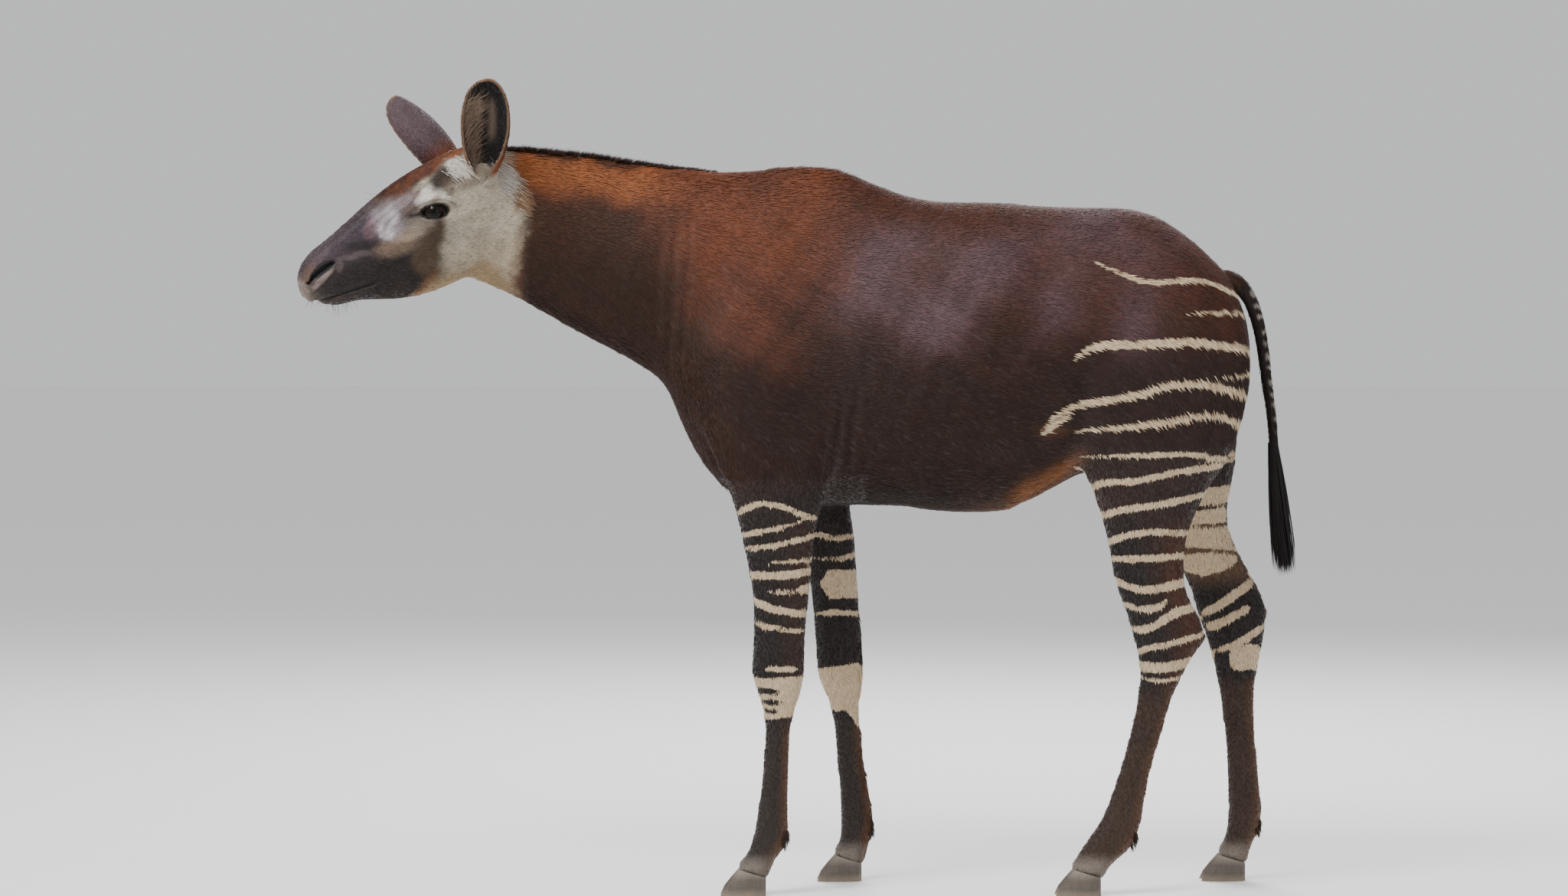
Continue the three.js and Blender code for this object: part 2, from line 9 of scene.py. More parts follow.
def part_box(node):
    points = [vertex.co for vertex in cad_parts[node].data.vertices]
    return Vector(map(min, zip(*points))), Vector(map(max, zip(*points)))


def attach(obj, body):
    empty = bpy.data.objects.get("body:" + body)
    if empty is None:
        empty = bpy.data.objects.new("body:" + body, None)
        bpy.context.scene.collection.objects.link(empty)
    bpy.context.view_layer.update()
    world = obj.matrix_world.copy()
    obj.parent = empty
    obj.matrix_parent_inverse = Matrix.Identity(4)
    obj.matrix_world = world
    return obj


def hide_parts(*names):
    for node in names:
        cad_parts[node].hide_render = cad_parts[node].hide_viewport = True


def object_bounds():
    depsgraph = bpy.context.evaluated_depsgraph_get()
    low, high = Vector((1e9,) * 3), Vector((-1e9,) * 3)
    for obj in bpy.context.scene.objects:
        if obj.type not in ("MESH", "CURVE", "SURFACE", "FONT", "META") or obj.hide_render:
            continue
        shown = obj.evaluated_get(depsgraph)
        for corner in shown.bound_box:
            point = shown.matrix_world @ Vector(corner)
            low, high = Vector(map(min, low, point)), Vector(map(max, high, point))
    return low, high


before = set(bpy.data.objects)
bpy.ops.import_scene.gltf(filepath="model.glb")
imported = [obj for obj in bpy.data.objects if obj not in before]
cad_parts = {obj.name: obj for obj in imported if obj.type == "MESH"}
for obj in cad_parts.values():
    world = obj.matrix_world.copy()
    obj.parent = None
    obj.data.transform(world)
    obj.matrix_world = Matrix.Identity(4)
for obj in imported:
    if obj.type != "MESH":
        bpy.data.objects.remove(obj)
cad_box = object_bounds()
scene = bpy.context.scene


# The camera stands nine and a half metres off on the animal's left, at the height of her chest,
# and looks a little below level through a long lens.
CAMERA_PLACE = (-0.027, -9.5, 1.2)
CAMERA_LENS = 105.9
CAMERA_TILT = 1.76
camera = bpy.data.objects.new("camera", bpy.data.cameras.new("camera"))
camera.data.sensor_width = 36
camera.data.lens = CAMERA_LENS
camera.location = CAMERA_PLACE
camera.rotation_euler = (math.radians(90 - CAMERA_TILT), 0, 0)
scene.collection.objects.link(camera)
scene.camera = camera


# The living form under the coat: trunk, neck, head and legs in one skin. It is taken from the frame's
# solids, melted together so that no joint shows, and drawn in by the depth of the fur.
# All sizes from here on are in metres.
LEGS = ("leg_fore_left", "leg_fore_right", "leg_hind_left", "leg_hind_right")
MELTED = ("torso", "neck", "head", "eye_left", "eye_right") + LEGS
SKIN_GRAIN = 0.0109  # size of the skin's faces on the trunk

HEAD_YAW = math.radians(180 + 21)
HEAD_PITCH = math.radians(22)
CAD_EYE = np.array((0.123, 0.066, 0.041))  # in the head's own axes: forward, left, up
EYE = np.array((0.134, 0.0655, 0.039))
EYE_SIZE = 0.025

turn = Matrix.Rotation(HEAD_YAW, 3, "Z") @ Matrix.Rotation(HEAD_PITCH, 3, "Y")
HEAD_AXES = np.array(turn)
eyes_between = sum((sum(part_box(name), Vector()) / 2 for name in ("eye_left", "eye_right")), Vector()) / 2
HEAD_ORIGIN = np.array(eyes_between) - HEAD_AXES @ (CAD_EYE * (1, 0, 1))


def in_head(points):
    """Places in the head's own axes."""
    return (np.asarray(points) - HEAD_ORIGIN) @ HEAD_AXES


def from_head(points):
    return np.asarray(points) @ HEAD_AXES.T + HEAD_ORIGIN


def ramp(value, low, high):
    """A soft step from 0 at low to 1 at high."""
    t = np.clip((value - low) / (high - low), 0, 1)
    return t * t * (3 - 2 * t)


def fade(value, low, high):
    """A soft fall from 1 at low to 0 at high."""
    return ramp(-value, -high, -low)


def bell(value, middle, width):
    return np.exp(-(((value - middle) / width) ** 2))


def swell(points, centre, radii):
    """1 at a centre and fading to nothing over the radii."""
    return np.exp(-(((points - centre) / radii) ** 2).sum(1))


def mirrored(points):
    """The places of one side, with the other side's folded over onto them."""
    return points * (1, 0, 1) + abs(points) * (0, 1, 0)


def points_of(mesh, kind="co"):
    flat = np.empty(len(mesh.vertices) * 3)
    mesh.vertices.foreach_get(kind, flat)
    return flat.reshape(-1, 3)


def place_points(mesh, points):
    mesh.vertices.foreach_set("co", np.ascontiguousarray(points, dtype=np.float32).ravel())
    mesh.update()


def edges_of(mesh):
    flat = np.empty(len(mesh.edges) * 2, np.int32)
    mesh.edges.foreach_get("vertices", flat)
    return flat.reshape(-1, 2)


def settle(points, edges, weight, rounds, back=0.0):
    """Evens out facets. With back near 0.52 each step in is followed by one out, and nothing shrinks."""
    a, b = edges.T
    count = np.maximum(np.bincount(edges.ravel(), minlength=len(points)), 1)[:, None]
    for step in range(rounds * (2 if back else 1)):
        around = [
            np.bincount(a, points[b, i], len(points)) + np.bincount(b, points[a, i], len(points))
            for i in range(3)
        ]
        share = -back if back and step % 2 else 0.5
        points = points + share * weight * (np.stack(around, 1) / count - points)
    return points


def finished(piece):
    """The piece's mesh with its modifiers worked in."""
    graph = bpy.context.evaluated_depsgraph_get()
    mesh = bpy.data.meshes.new_from_object(piece.evaluated_get(graph), depsgraph=graph)
    piece.modifiers.clear()
    old = piece.data
    piece.data = mesh
    bpy.data.meshes.remove(old)
    return piece


def add_piece(name, bm):
    mesh = bpy.data.meshes.new(name)
    bm.to_mesh(mesh)
    bm.free()
    piece = bpy.data.objects.new(name, mesh)
    scene.collection.objects.link(piece)
    return piece


EARS = {
    "left": {
        "root": (-0.637, -0.090, 1.456),
        "lean": (0.014, -0.098, 0.204),
        "face": (-0.32, -0.94, -0.10),
    },
    "right": {
        "root": (-0.692, 0.012, 1.468),
        "lean": (-0.160, 0.040, 0.168),
        "face": (-0.50, 0.55, -0.60),
    },
}
EAR_LENGTH = 0.216
EAR_ROOT_SIZE = 0.031

bm = bmesh.new()
for name in MELTED:
    bm.from_mesh(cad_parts[name].data)
bmesh.ops.remove_doubles(bm, verts=bm.verts, dist=1e-5)
for ear in EARS.values():
    ball = Matrix.Translation(ear["root"]) @ Matrix.Diagonal((1, 1, 1.2, 1))
    bmesh.ops.create_icosphere(bm, subdivisions=3, radius=EAR_ROOT_SIZE, matrix=ball)
bmesh.ops.create_icosphere(bm, subdivisions=3, radius=0.03, matrix=Matrix.Translation((0.880, 0, 1.252)))
skin = add_piece("skin", bm)
melt = skin.modifiers.new("melt", "REMESH")
melt.mode = "VOXEL"
melt.voxel_size = SKIN_GRAIN
finished(skin)

NAPE = (
    (-0.64, 1.533), (-0.60, 1.533), (-0.54, 1.526), (-0.44, 1.516),
    (-0.34, 1.502), (-0.27, 1.494), (-0.1, 1.489),
)


def nape_height(x):
    """How high the top of the neck is, without the mane."""
    return np.interp(x, *zip(*NAPE))


points = points_of(skin.data)
edges = edges_of(skin.data)
maned = (points[:, 0] > -0.62) & (points[:, 0] < -0.15)
points[maned, 2] = np.minimum(points[maned, 2], nape_height(points[maned, 0]) - 0.002)
trunk = ramp(points[:, 2], 0.86, 1.0) * ramp(points[:, 0], -0.66, -0.56)
points = settle(points, edges, trunk[:, None], 46)
points = settle(points, edges, 1.0, 9, back=0.52)
place_points(skin.data, points)

# How deep the fur is: thinnest on the face and the lower legs
normals = points_of(skin.data, "normal")
depth = 0.0022 + 0.0022 * ramp(points[:, 2], 0.75, 1.0) * ramp(points[:, 0], -0.70, -0.55)
place_points(skin.data, points - normals * depth[:, None])


def refine(piece, chosen):
    """Splits every face whose corners are all chosen into four, and evens out the new points."""
    inside = chosen(points_of(piece.data))
    bm = bmesh.new()
    bm.from_mesh(piece.data)
    bm.verts.ensure_lookup_table()
    split = [e for e in bm.edges if inside[e.verts[0].index] and inside[e.verts[1].index]]
    bmesh.ops.subdivide_edges(bm, edges=split, cuts=1, use_grid_fill=True)
    bm.to_mesh(piece.data)
    bm.free()
    points = points_of(piece.data)
    weight = chosen(points)[:, None] * 1.0
    place_points(piece.data, settle(points, edges_of(piece.data), weight, 4, back=0.52))


refine(skin, lambda p: in_head(p)[:, 0] > -0.05)
refine(skin, lambda p: in_head(p)[:, 0] > 0.09)
refine(skin, lambda p: np.linalg.norm((abs(in_head(p)) - EYE) / (1.3, 1, 1), axis=1) < 0.034)

# The face: lids, brow, cheek, lips, nostrils and the line of the mouth, pressed and raised in the skin.
# Each form is a centre, its radii and its height, alike on both sides.
FACE_FORMS = (
    ((0.118, 0.082, 0.072), (0.042, 0.022, 0.011), 0.0050),  # brow
    ((0.060, 0.064, 0.085), (0.026, 0.024, 0.020), -0.0050),  # temple
    ((0.070, 0.084, 0.012), (0.050, 0.026, 0.009), 0.0030),  # cheek arch
    ((0.185, 0.062, 0.004), (0.060, 0.024, 0.008), 0.0032),  # crest under the eye
    ((0.176, 0.066, 0.040), (0.024, 0.022, 0.013), -0.0045),  # hollow before the eye
    ((0.275, 0.044, 0.026), (0.055, 0.020, 0.020), -0.0035),  # side of the nose
    ((0.070, 0.062, -0.045), (0.052, 0.040, 0.042), 0.0045),  # chewing muscle
    ((0.143, 0.055, -0.060), (0.014, 0.030, 0.045), -0.0025),  # before that muscle
    ((0.396, 0.034, -0.014), (0.032, 0.022, 0.022), 0.0035),  # upper lip
    ((0.372, 0.000, -0.066), (0.030, 0.028, 0.014), 0.0020),  # chin
    ((0.330, 0.030, 0.056), (0.040, 0.020, 0.012), 0.0018),  # over the nostril
)
NOSTRIL = ((0.360, 0.0190), (0.374, 0.0185), (0.391, 0.0150), (0.408, 0.0090), (0.421, -0.0005))
MOUTH = ((0.300, -0.0520), (0.340, -0.0490), (0.365, -0.0470), (0.400, -0.0440), (0.440, -0.0400))
LID_TILT = math.radians(14)
LID_LENGTH = 0.0265
LID_TOP = 0.0150
LID_BOTTOM = 0.0125


def lid_axes(q):
    """Along the opening of the lids towards the nose, and across it upwards."""
    du, dw = q[:, 0] - EYE[0], q[:, 2] - EYE[2]
    return (
        du * math.cos(LID_TILT) + dw * math.sin(LID_TILT),
        dw * math.cos(LID_TILT) - du * math.sin(LID_TILT),
    )


def lid_reach(q):
    """0 in the middle of the eye, 1 at the edge of the lids, and more outside."""
    along, across = lid_axes(q)
    tall = np.where(across > 0, LID_TOP, LID_BOTTOM)
    return np.hypot(along / LID_LENGTH, across / tall)


def off_line(u, w, line):
    """How far above a drawn line a point is, and how far past its ends."""
    us, ws = zip(*line)
    past = np.maximum(us[0] - u, u - us[-1]).clip(0)
    return w - np.interp(u, us, ws), past


def nostril_reach(q):
    """0 along the middle of the nostril, 1 at its edge, and more outside."""
    above, past = off_line(q[:, 0], q[:, 2], NOSTRIL)
    share = np.clip((q[:, 0] - NOSTRIL[0][0]) / (NOSTRIL[-1][0] - NOSTRIL[0][0]), 0, 1)
    tall = 0.0032 + 0.0064 * np.sin(np.pi * share ** 0.8)
    return np.where(abs(q[:, 1]) > 0.008, np.hypot(above / tall, past / 0.004), 9.0)


points = points_of(skin.data)
normals = points_of(skin.data, "normal")
q = in_head(points)
q[:, 1] = abs(q[:, 1])
rise = np.zeros(len(points))
for centre, radii, height in FACE_FORMS:
    rise += height * swell(q, centre, radii)

hole = nostril_reach(q)
rise += 0.0034 * bell(hole, 1.55, 0.45) - 0.0170 * fade(hole, 0.35, 1.10)

above, past = off_line(q[:, 0], q[:, 2], MOUTH)
groove = np.exp(-((above / 0.0022) ** 2) - (past / 0.006) ** 2)
lips = np.exp(-(((abs(above) - 0.0070) / 0.0045) ** 2) - (past / 0.010) ** 2)
rise += 0.0014 * lips - 0.0048 * groove

folds = lid_reach(q)
near_eye = (q[:, 1] > 0.04) & (folds < 2.6)
rise[near_eye] += (
    -0.0014 * bell(folds, 1.78, 0.12) + 0.0012 * bell(folds, 1.42, 0.18)
)[near_eye]
points = points + normals * rise[:, None]

# The lids lie on the eyeball, and inside their opening the skin is sunk behind it.
q = in_head(points)
side = np.sign(q[:, 1])
q[:, 1] = abs(q[:, 1])
flat = (q[:, 0] - EYE[0]) ** 2 + (q[:, 2] - EYE[2]) ** 2
ball_front = EYE[1] + np.sqrt(np.maximum((EYE_SIZE + 0.0012) ** 2 - flat, 0.007 ** 2))
reach = lid_reach(q)
on_lid = ball_front + (q[:, 1] - ball_front) * ramp(reach, 1.0, 1.75)
sunk = ball_front - 0.009
wanted = np.where(reach < 1, sunk + (ball_front - sunk) * ramp(reach, 0.86, 1.0), on_lid)
moved = (q[:, 1] > 0.03) & (reach < 1.75)
q[moved, 1] = wanted[moved]
q[:, 1] *= side
points = from_head(q)
weight = ((reach > 1.02) & (reach < 1.9))[:, None] * 0.5
place_points(skin.data, settle(points, edges_of(skin.data), weight, 2))


# The body's own forms under the skin: shoulder blades, hips, flanks, thighs, tendons and folds.
# Each is a centre, its radii and its height, alike on both sides.
BODY_FORMS = (
    ((-0.055, 0.150, 1.400), (0.040, 0.070, 0.070), 0.006),  # top of the shoulder blade
    ((-0.120, 0.190, 1.280), (0.030, 0.060, 0.090), 0.005),  # its ridge
    ((-0.195, 0.200, 1.090), (0.050, 0.060, 0.070), 0.008),  # point of the shoulder
    ((-0.285, 0.130, 1.200), (0.035, 0.080, 0.130), -0.008),  # before the shoulder
    ((0.085, 0.200, 1.210), (0.040, 0.080, 0.130), -0.007),  # behind the shoulder
    ((-0.020, 0.190, 1.080), (0.070, 0.060, 0.070), 0.006),  # upper arm
    ((0.075, 0.170, 0.960), (0.040, 0.060, 0.060), 0.006),  # elbow
    ((0.300, 0.220, 1.060), (0.170, 0.080, 0.110), 0.005),  # ribs
    ((0.590, 0.140, 1.365), (0.045, 0.050, 0.030), 0.010),  # point of the hip
    ((0.500, 0.180, 1.270), (0.060, 0.070, 0.080), -0.009),  # hollow of the flank
    ((0.545, 0.215, 0.990), (0.028, 0.060, 0.080), 0.007),  # fold of the flank
    ((0.490, 0.200, 0.930), (0.030, 0.080, 0.050), -0.005),
    ((0.720, 0.200, 1.240), (0.060, 0.070, 0.060), 0.004),  # hip joint
    ((0.800, 0.190, 1.120), (0.050, 0.060, 0.120), 0.006),  # thigh
    ((0.640, 0.200, 1.060), (0.060, 0.060, 0.100), 0.005),
    ((0.905, 0.085, 1.215), (0.030, 0.030, 0.040), 0.008),  # seat bone
)
LEG_EDGES = {
    # height, front edge, back edge
    "hind_left": (
        (0.01, 0.560, 0.619), (0.08, 0.571, 0.660), (0.142, 0.614, 0.699), (0.267, 0.661, 0.722),
        (0.391, 0.692, 0.757), (0.453, 0.699, 0.784), (0.5, 0.693, 0.812), (0.56, 0.674, 0.824),
        (0.6, 0.658, 0.8), (0.64, 0.644, 0.789), (0.702, 0.633, 0.789), (0.764, 0.619, 0.806),
        (0.827, 0.597, 0.838), (0.889, 0.568, 0.88), (0.96, 0.544, 0.915), (1.06, 0.547, 0.934),
        (1.1, 0.548, 0.936),
    ),
    "hind_right": (
        (0.01, 0.880, 0.938), (0.08, 0.893, 0.951), (0.145, 0.904, 0.972), (0.305, 0.896, 0.958),
        (0.385, 0.887, 0.955), (0.449, 0.874, 0.963), (0.512, 0.856, 0.976), (0.566, 0.834, 0.984),
        (0.6, 0.826, 0.972), (0.64, 0.806, 0.950), (0.704, 0.772, 0.916), (0.76, 0.738, 0.899),
        (0.85, 0.690, 0.914), (0.96, 0.612, 0.930), (1.06, 0.570, 0.936), (1.1, 0.548, 0.936),
    ),
    "fore_left": (
        (0.01, -0.121, -0.063), (0.08, -0.103, -0.046), (0.127, -0.087, -0.019), (0.189, -0.077, -0.021),
        (0.344, -0.064, -0.015), (0.407, -0.075, 0.005), (0.438, -0.087, 0.012), (0.51, -0.088, 0.015),
        (0.609, -0.092, 0.026), (0.656, -0.100, 0.031), (0.733, -0.116, 0.037), (0.788, -0.129, 0.052),
        (0.86, -0.158, 0.072), (0.96, -0.206, 0.096),
    ),
    "fore_right": (
        (0.01, 0.078, 0.136), (0.075, 0.088, 0.143), (0.13, 0.093, 0.158), (0.241, 0.086, 0.140),
        (0.321, 0.079, 0.131), (0.385, 0.064, 0.130), (0.425, 0.048, 0.137), (0.53, 0.036, 0.132),
        (0.592, 0.030, 0.131), (0.66, 0.018, 0.126), (0.736, 0.0, 0.120), (0.79, -0.034, 0.112),
        (0.86, -0.090, 0.108), (0.96, -0.170, 0.110),
    ),
}
LEG_MIDDLE = 0.125  # from the middle of the body to the middle of a leg


def of_pair(x, pair):
    """1 at the hind or the fore legs, and 0 at the other pair."""
    hind = ramp(x, 0.3, 0.4)
    return hind if pair == "hind" else 1 - hind


def on_leg(points, pair):
    """Share of the way from the front edge to the back, the leg's width there, and the way to its outside."""
    x, y, z = points.T
    rows = {s: np.array(LEG_EDGES[pair + "_" + s]).T for s in ("left", "right")}
    front, back = (
        np.where(y < 0, *(np.interp(z, rows[s][0], rows[s][i]) for s in ("left", "right"))) for i in (1, 2)
    )
    wide = back - front
    return (x - front) / wide, wide, (abs(y) - LEG_MIDDLE) / (0.42 * wide).clip(0.02, 0.09)


points = points_of(skin.data)
normals = points_of(skin.data, "normal")
x, y, z = points.T
folded = mirrored(points)
rise = np.zeros(len(points))
for centre, radii, height in BODY_FORMS:
    rise += height * swell(folded, centre, radii)
barrel = ramp(x, 0.08, 0.2) * fade(x, 0.36, 0.5) * ramp(z, 0.93, 1.05) * fade(z, 1.22, 1.36)
rise += 0.0004 * barrel * np.sin((x - 0.35 * (z - 1.1)) * 2 * np.pi / 0.052) * ramp(abs(y), 0.1, 0.17)
for place, height in ((-0.232, 0.0018), (-0.258, 0.0024), (-0.290, 0.0016)):
    fold = bell(x - place - 0.06 * (z - 1.2), 0, 0.009)
    rise -= height * fold * ramp(z, 1.02, 1.16) * fade(z, 1.33, 1.43) * ramp(abs(y), 0.04, 0.09)
for place, height in ((0.052, 0.0022), (0.078, 0.0032), (0.106, 0.0022)):
    fold = bell(x - place - 0.10 * (z - 0.93), 0, 0.0085)
    rise -= height * fold * ramp(z, 0.79, 0.86) * fade(z, 0.95, 1.06) * ramp(abs(y), 0.08, 0.14)
for pair in ("hind", "fore"):
    along, wide, out = on_leg(points, pair)
    here = of_pair(x, pair)
    low = (z < 0.80) * here
    cannon = ramp(z, 0.13, 0.19) * fade(z, 0.31, 0.37) * low
    rise -= 0.0030 * cannon * bell(along, 0.60, 0.11)
    fetlock = bell(z, 0.098, 0.022) * low
    rise += 0.0025 * fetlock * bell(along, 1.0, 0.35)
    if pair == "hind":
        gaskin = 0.0075 * ramp(z, 0.54, 0.60) * fade(z, 0.68, 0.76)
        rise -= gaskin * here * bell(along, 0.70, 0.10)
        rise += 0.0035 * bell(z, 0.515, 0.05) * here * bell(along, 0.45, 0.2)
        groove = bell(along - 0.80 + 0.2 * (z - 1.05), 0, 0.05)
        rise -= 0.0045 * groove * ramp(z, 0.80, 0.9) * fade(z, 1.14, 1.24) * here * (out > 0)
    else:
        rise += 0.0030 * bell(z, 0.445, 0.022) * low * bell(along, 0.1, 0.3)
        rise += 0.0020 * bell(z, 0.405, 0.014) * low * bell(along, 0.25, 0.3)
        forearm = 0.0030 * ramp(z, 0.50, 0.56) * fade(z, 0.66, 0.74)
        rise -= forearm * low * bell(along, 0.55, 0.10)
# the legs are full again where the coat was drawn in too far, most of all over the hooves
rise += 0.0027 * fade(z, 0.48, 0.62)
rise += 0.0035 * fade(z, 0.060, 0.085)
place_points(skin.data, points + normals * rise[:, None])


# The ears: tall cups of gristle under thin skin, open to the side on the left and turned back on the right.
# Each is a bent sheet given a thickness and grown together with the head.
EAR_SHAPE = (
    # share of the length, half width, degrees round from the middle of the back
    (0.00, 0.0210, 155), (0.06, 0.0235, 146), (0.12, 0.0260, 135), (0.20, 0.0310, 121), (0.30, 0.0385, 105),
    (0.40, 0.0440, 93), (0.50, 0.0482, 85), (0.60, 0.0500, 78), (0.70, 0.0488, 73), (0.80, 0.0450, 67),
    (0.88, 0.0385, 62), (0.94, 0.0290, 58), (0.975, 0.0190, 55), (1.00, 0.0060, 52),
)
EAR_WALL = 0.0036
EAR_DEPTH = 0.014
EAR_HOLLOW = 0.018


def ear_axes(ear):
    up = Vector(ear["lean"]).normalized()
    out = (Vector(ear["face"]) - up * Vector(ear["face"]).dot(up)).normalized()
    return np.array(up.cross(out)), np.array(out), np.array(up)


def ear_sizes(t):
    shares, halves, wraps = np.array(EAR_SHAPE).T
    wrap = np.radians(np.interp(t, shares, wraps))
    reach = np.interp(t, shares, halves) / np.sin(np.minimum(wrap, np.pi / 2))
    return wrap, reach, reach - EAR_DEPTH - EAR_HOLLOW * np.sin(np.pi * np.clip(t, 0, 1))


def on_ear(points, normals, ear):
    """Share of the length and of the way round to an edge, distance from the wall, and side of the wall."""
    across, out, up = ear_axes(ear)
    offset = points - np.array(ear["root"])
    t = offset @ up / EAR_LENGTH
    wrap, reach, centre = ear_sizes(t)
    a, b = offset @ across, offset @ out - centre
    return t, np.arctan2(a, -b) / wrap, np.hypot(a, b) - reach, (normals @ across) * a + (normals @ out) * b


def of_ear(points, normals, ear, start=0.06):
    """Which points belong to an ear, from a share of its length on."""
    t, side, off, _ = on_ear(points, normals, ear)
    free = (t > 0.5) & (abs(off) < 0.03)
    return (t > start) & (t < 1.08) & (free | ((abs(side) < 1.1) & (abs(off) < 0.010)))


def grow_together(cup):
    """Joins a closed piece to the skin."""
    union = skin.modifiers.new("union", "BOOLEAN")
    union.operation = "UNION"
    union.solver = "MANIFOLD"
    union.object = cup
    finished(skin)
    bpy.data.objects.remove(cup)


for name, ear in EARS.items():
    across, out, up = ear_axes(ear)
    bm = bmesh.new()
    bmesh.ops.create_grid(bm, x_segments=26, y_segments=34, size=1)
    for v in bm.verts:
        t = 1 - (1 - (v.co.y + 1) / 2) ** 1.25
        wrap, reach, centre = ear_sizes(t)
        round_to = v.co.x * wrap
        v.co = Vector(
            np.array(ear["root"]) + up * t * EAR_LENGTH
            + out * (centre - reach * math.cos(round_to)) + across * reach * math.sin(round_to)
        )
    bmesh.ops.recalc_face_normals(bm, faces=bm.faces)
    middle = Vector(np.array(ear["root"]) + up * EAR_LENGTH / 2 - out * EAR_DEPTH)
    face = min(bm.faces, key=lambda f: (f.calc_center_median() - middle).length)
    if face.normal.dot(Vector(out)) < 0:
        bmesh.ops.reverse_faces(bm, faces=bm.faces)
    bmesh.ops.solidify(bm, geom=bm.faces[:], thickness=EAR_WALL)
    bmesh.ops.recalc_face_normals(bm, faces=bm.faces)
    grow_together(add_piece("cup_" + name, bm))

# The dock of the tail, grown together with the rump in the same way
TAIL_ROOT = np.array((0.893, 0.0, 1.252))
bm = bmesh.new()
bm.from_mesh(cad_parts["tail"].data)
bmesh.ops.remove_doubles(bm, verts=bm.verts, dist=1e-5)
dock = add_piece("dock", bm)
rounding = dock.modifiers.new("round", "SUBSURF")
rounding.levels = rounding.render_levels = 2
finished(dock)
place_points(dock.data, points_of(dock.data) - points_of(dock.data, "normal") * 0.0012)
grow_together(dock)

points = points_of(skin.data)
edges = edges_of(skin.data)
blend = np.zeros(len(points))
for ear in EARS.values():
    blend = np.maximum(blend, fade(np.linalg.norm(points - ear["root"], axis=1), 0.040, 0.062))
blend = np.maximum(blend, 0.8 * fade(np.linalg.norm(points - TAIL_ROOT, axis=1), 0.040, 0.070))
place_points(skin.data, settle(points, edges, blend[:, None], 5))
skin.data.polygons.foreach_set("use_smooth", np.ones(len(skin.data.polygons), bool))
skin.data.update()


# The coat: short, dense and velvety, deep chestnut on the body, striped black and cream on the legs,
# grey and cream on the face. The skin carries its colours, and fine tufts in the same colours lie over it.
def hue(code):
    """A colour as it is mixed in light, from the way it is written for a screen."""
    parts = [int(code[i:i + 2], 16) / 255 for i in (0, 2, 4)]
    return np.array([p / 12.92 if p <= 0.04045 else ((p + 0.055) / 1.055) ** 2.4 for p in parts])


CHESTNUT = "4c281a"
DARK_CHESTNUT = "2a170e"
AUBURN = "743c1e"
BRIGHT_AUBURN = "8f5129"
PLUM_SHEEN = "60494e"
BLACK_BROWN = "1e1512"
LEG_BROWN = "58371e"
CREAM = "d9c4a4"
DEEP_CREAM = "bfa482"
WHITE = "e6ded2"
SILVER_HIGHLIGHT = "c9c1c4"
CHEEK = "b5ab97"
THROAT = "a58468"
MUZZLE = "3b2f31"
OLIVE = "4a3a2a"
BLACK = "0f0b0a"


def lay(colour, share, new):
    """Lays another colour over a share of this one."""
    share = np.clip(share, 0, 1)[:, None]
    new = hue(new) if isinstance(new, str) else new
    colour[:] = colour * (1 - share) + new * share


def wander(points, size, seed=0.0):
    """A smooth, uneven number between -1 and 1 over the body."""
    p = points / size
    total = np.zeros(len(points))
    for i, (a, b, c) in enumerate(((1.0, 0.7, 1.3), (-1.1, 1.4, 0.6), (0.8, -1.2, 1.1), (1.7, 1.1, -1.5))):
        total += np.sin(a * p[:, 0] + b * p[:, 1] + c * p[:, 2] + 1.7 * i + seed)
    return total / 2.6


# Stripes and patches, read from the photo: half their width in mm, then a line of places,
# each a share of the way from the leg's front edge to its back, and a height in mm.
HIND_STRIPES = (
    (5.5, (0.12, 1293), (0.22, 1274), (0.34, 1254), (0.44, 1246), (0.58, 1253), (0.74, 1251), (0.9, 1223),
     (1.0, 1205)),
    (4.0, (0.60, 1181), (0.72, 1189), (0.94, 1185), (1.1, 1180)),
    (8.5, (0.02, 1092), (0.10, 1115), (0.20, 1123), (0.42, 1123), (0.66, 1129), (0.98, 1110), (1.1, 1105)),
    (3.5, (0.72, 1050), (0.86, 1059), (0.98, 1066), (1.1, 1070)),
    (7.5, (-0.14, 953), (-0.06, 984), (0.07, 1004), (0.23, 1011), (0.43, 1027), (0.51, 1041), (0.64, 1045),
     (0.79, 1038), (0.97, 1018), (1.1, 1005)),
    (6.5, (-0.17, 941), (-0.11, 951), (-0.05, 966), (0.02, 985)),
    (7.0, (0.03, 948), (0.2, 951), (0.46, 962), (0.6, 970), (0.72, 982), (0.87, 974), (0.96, 959),
     (1.1, 950)),
    (5.5, (0.02, 894), (0.22, 897), (0.51, 900), (0.7, 903), (0.97, 889), (1.15, 884)),
    (6.5, (-0.1, 815), (-0.02, 827), (0.12, 845), (0.36, 845), (0.58, 861), (0.79, 872), (0.94, 876),
     (1.15, 880)),
    (7.0, (-0.1, 765), (0, 772), (0.2, 789), (0.49, 796), (0.77, 808), (0.95, 819), (1.15, 824)),
    (6.5, (-0.1, 712), (0, 719), (0.24, 738), (0.51, 744), (0.91, 741), (1.15, 740)),
    (7.0, (-0.1, 686), (0, 687), (0.51, 690), (0.98, 694), (1.15, 696)),
    (8.0, (-0.1, 652), (0, 645), (0.19, 629), (0.45, 624), (0.99, 640), (1.15, 646)),
    (6.5, (-0.1, 604), (-0.02, 598), (0.24, 585), (0.46, 589), (0.66, 604)),
    (7.0, (-0.1, 550), (0.03, 547), (0.18, 542), (0.42, 559), (0.64, 578), (1.0, 589), (1.15, 592)),
    (6.0, (-0.1, 490), (0, 497), (0.18, 508), (0.54, 515), (1.01, 534), (1.15, 540)),
    (10.5, (-0.1, 469), (0.01, 469), (0.5, 466), (0.93, 477), (1.15, 480)),
    (3.8, (-0.1, 449), (0.03, 447), (0.4, 438), (0.85, 445), (1.1, 448)),
)
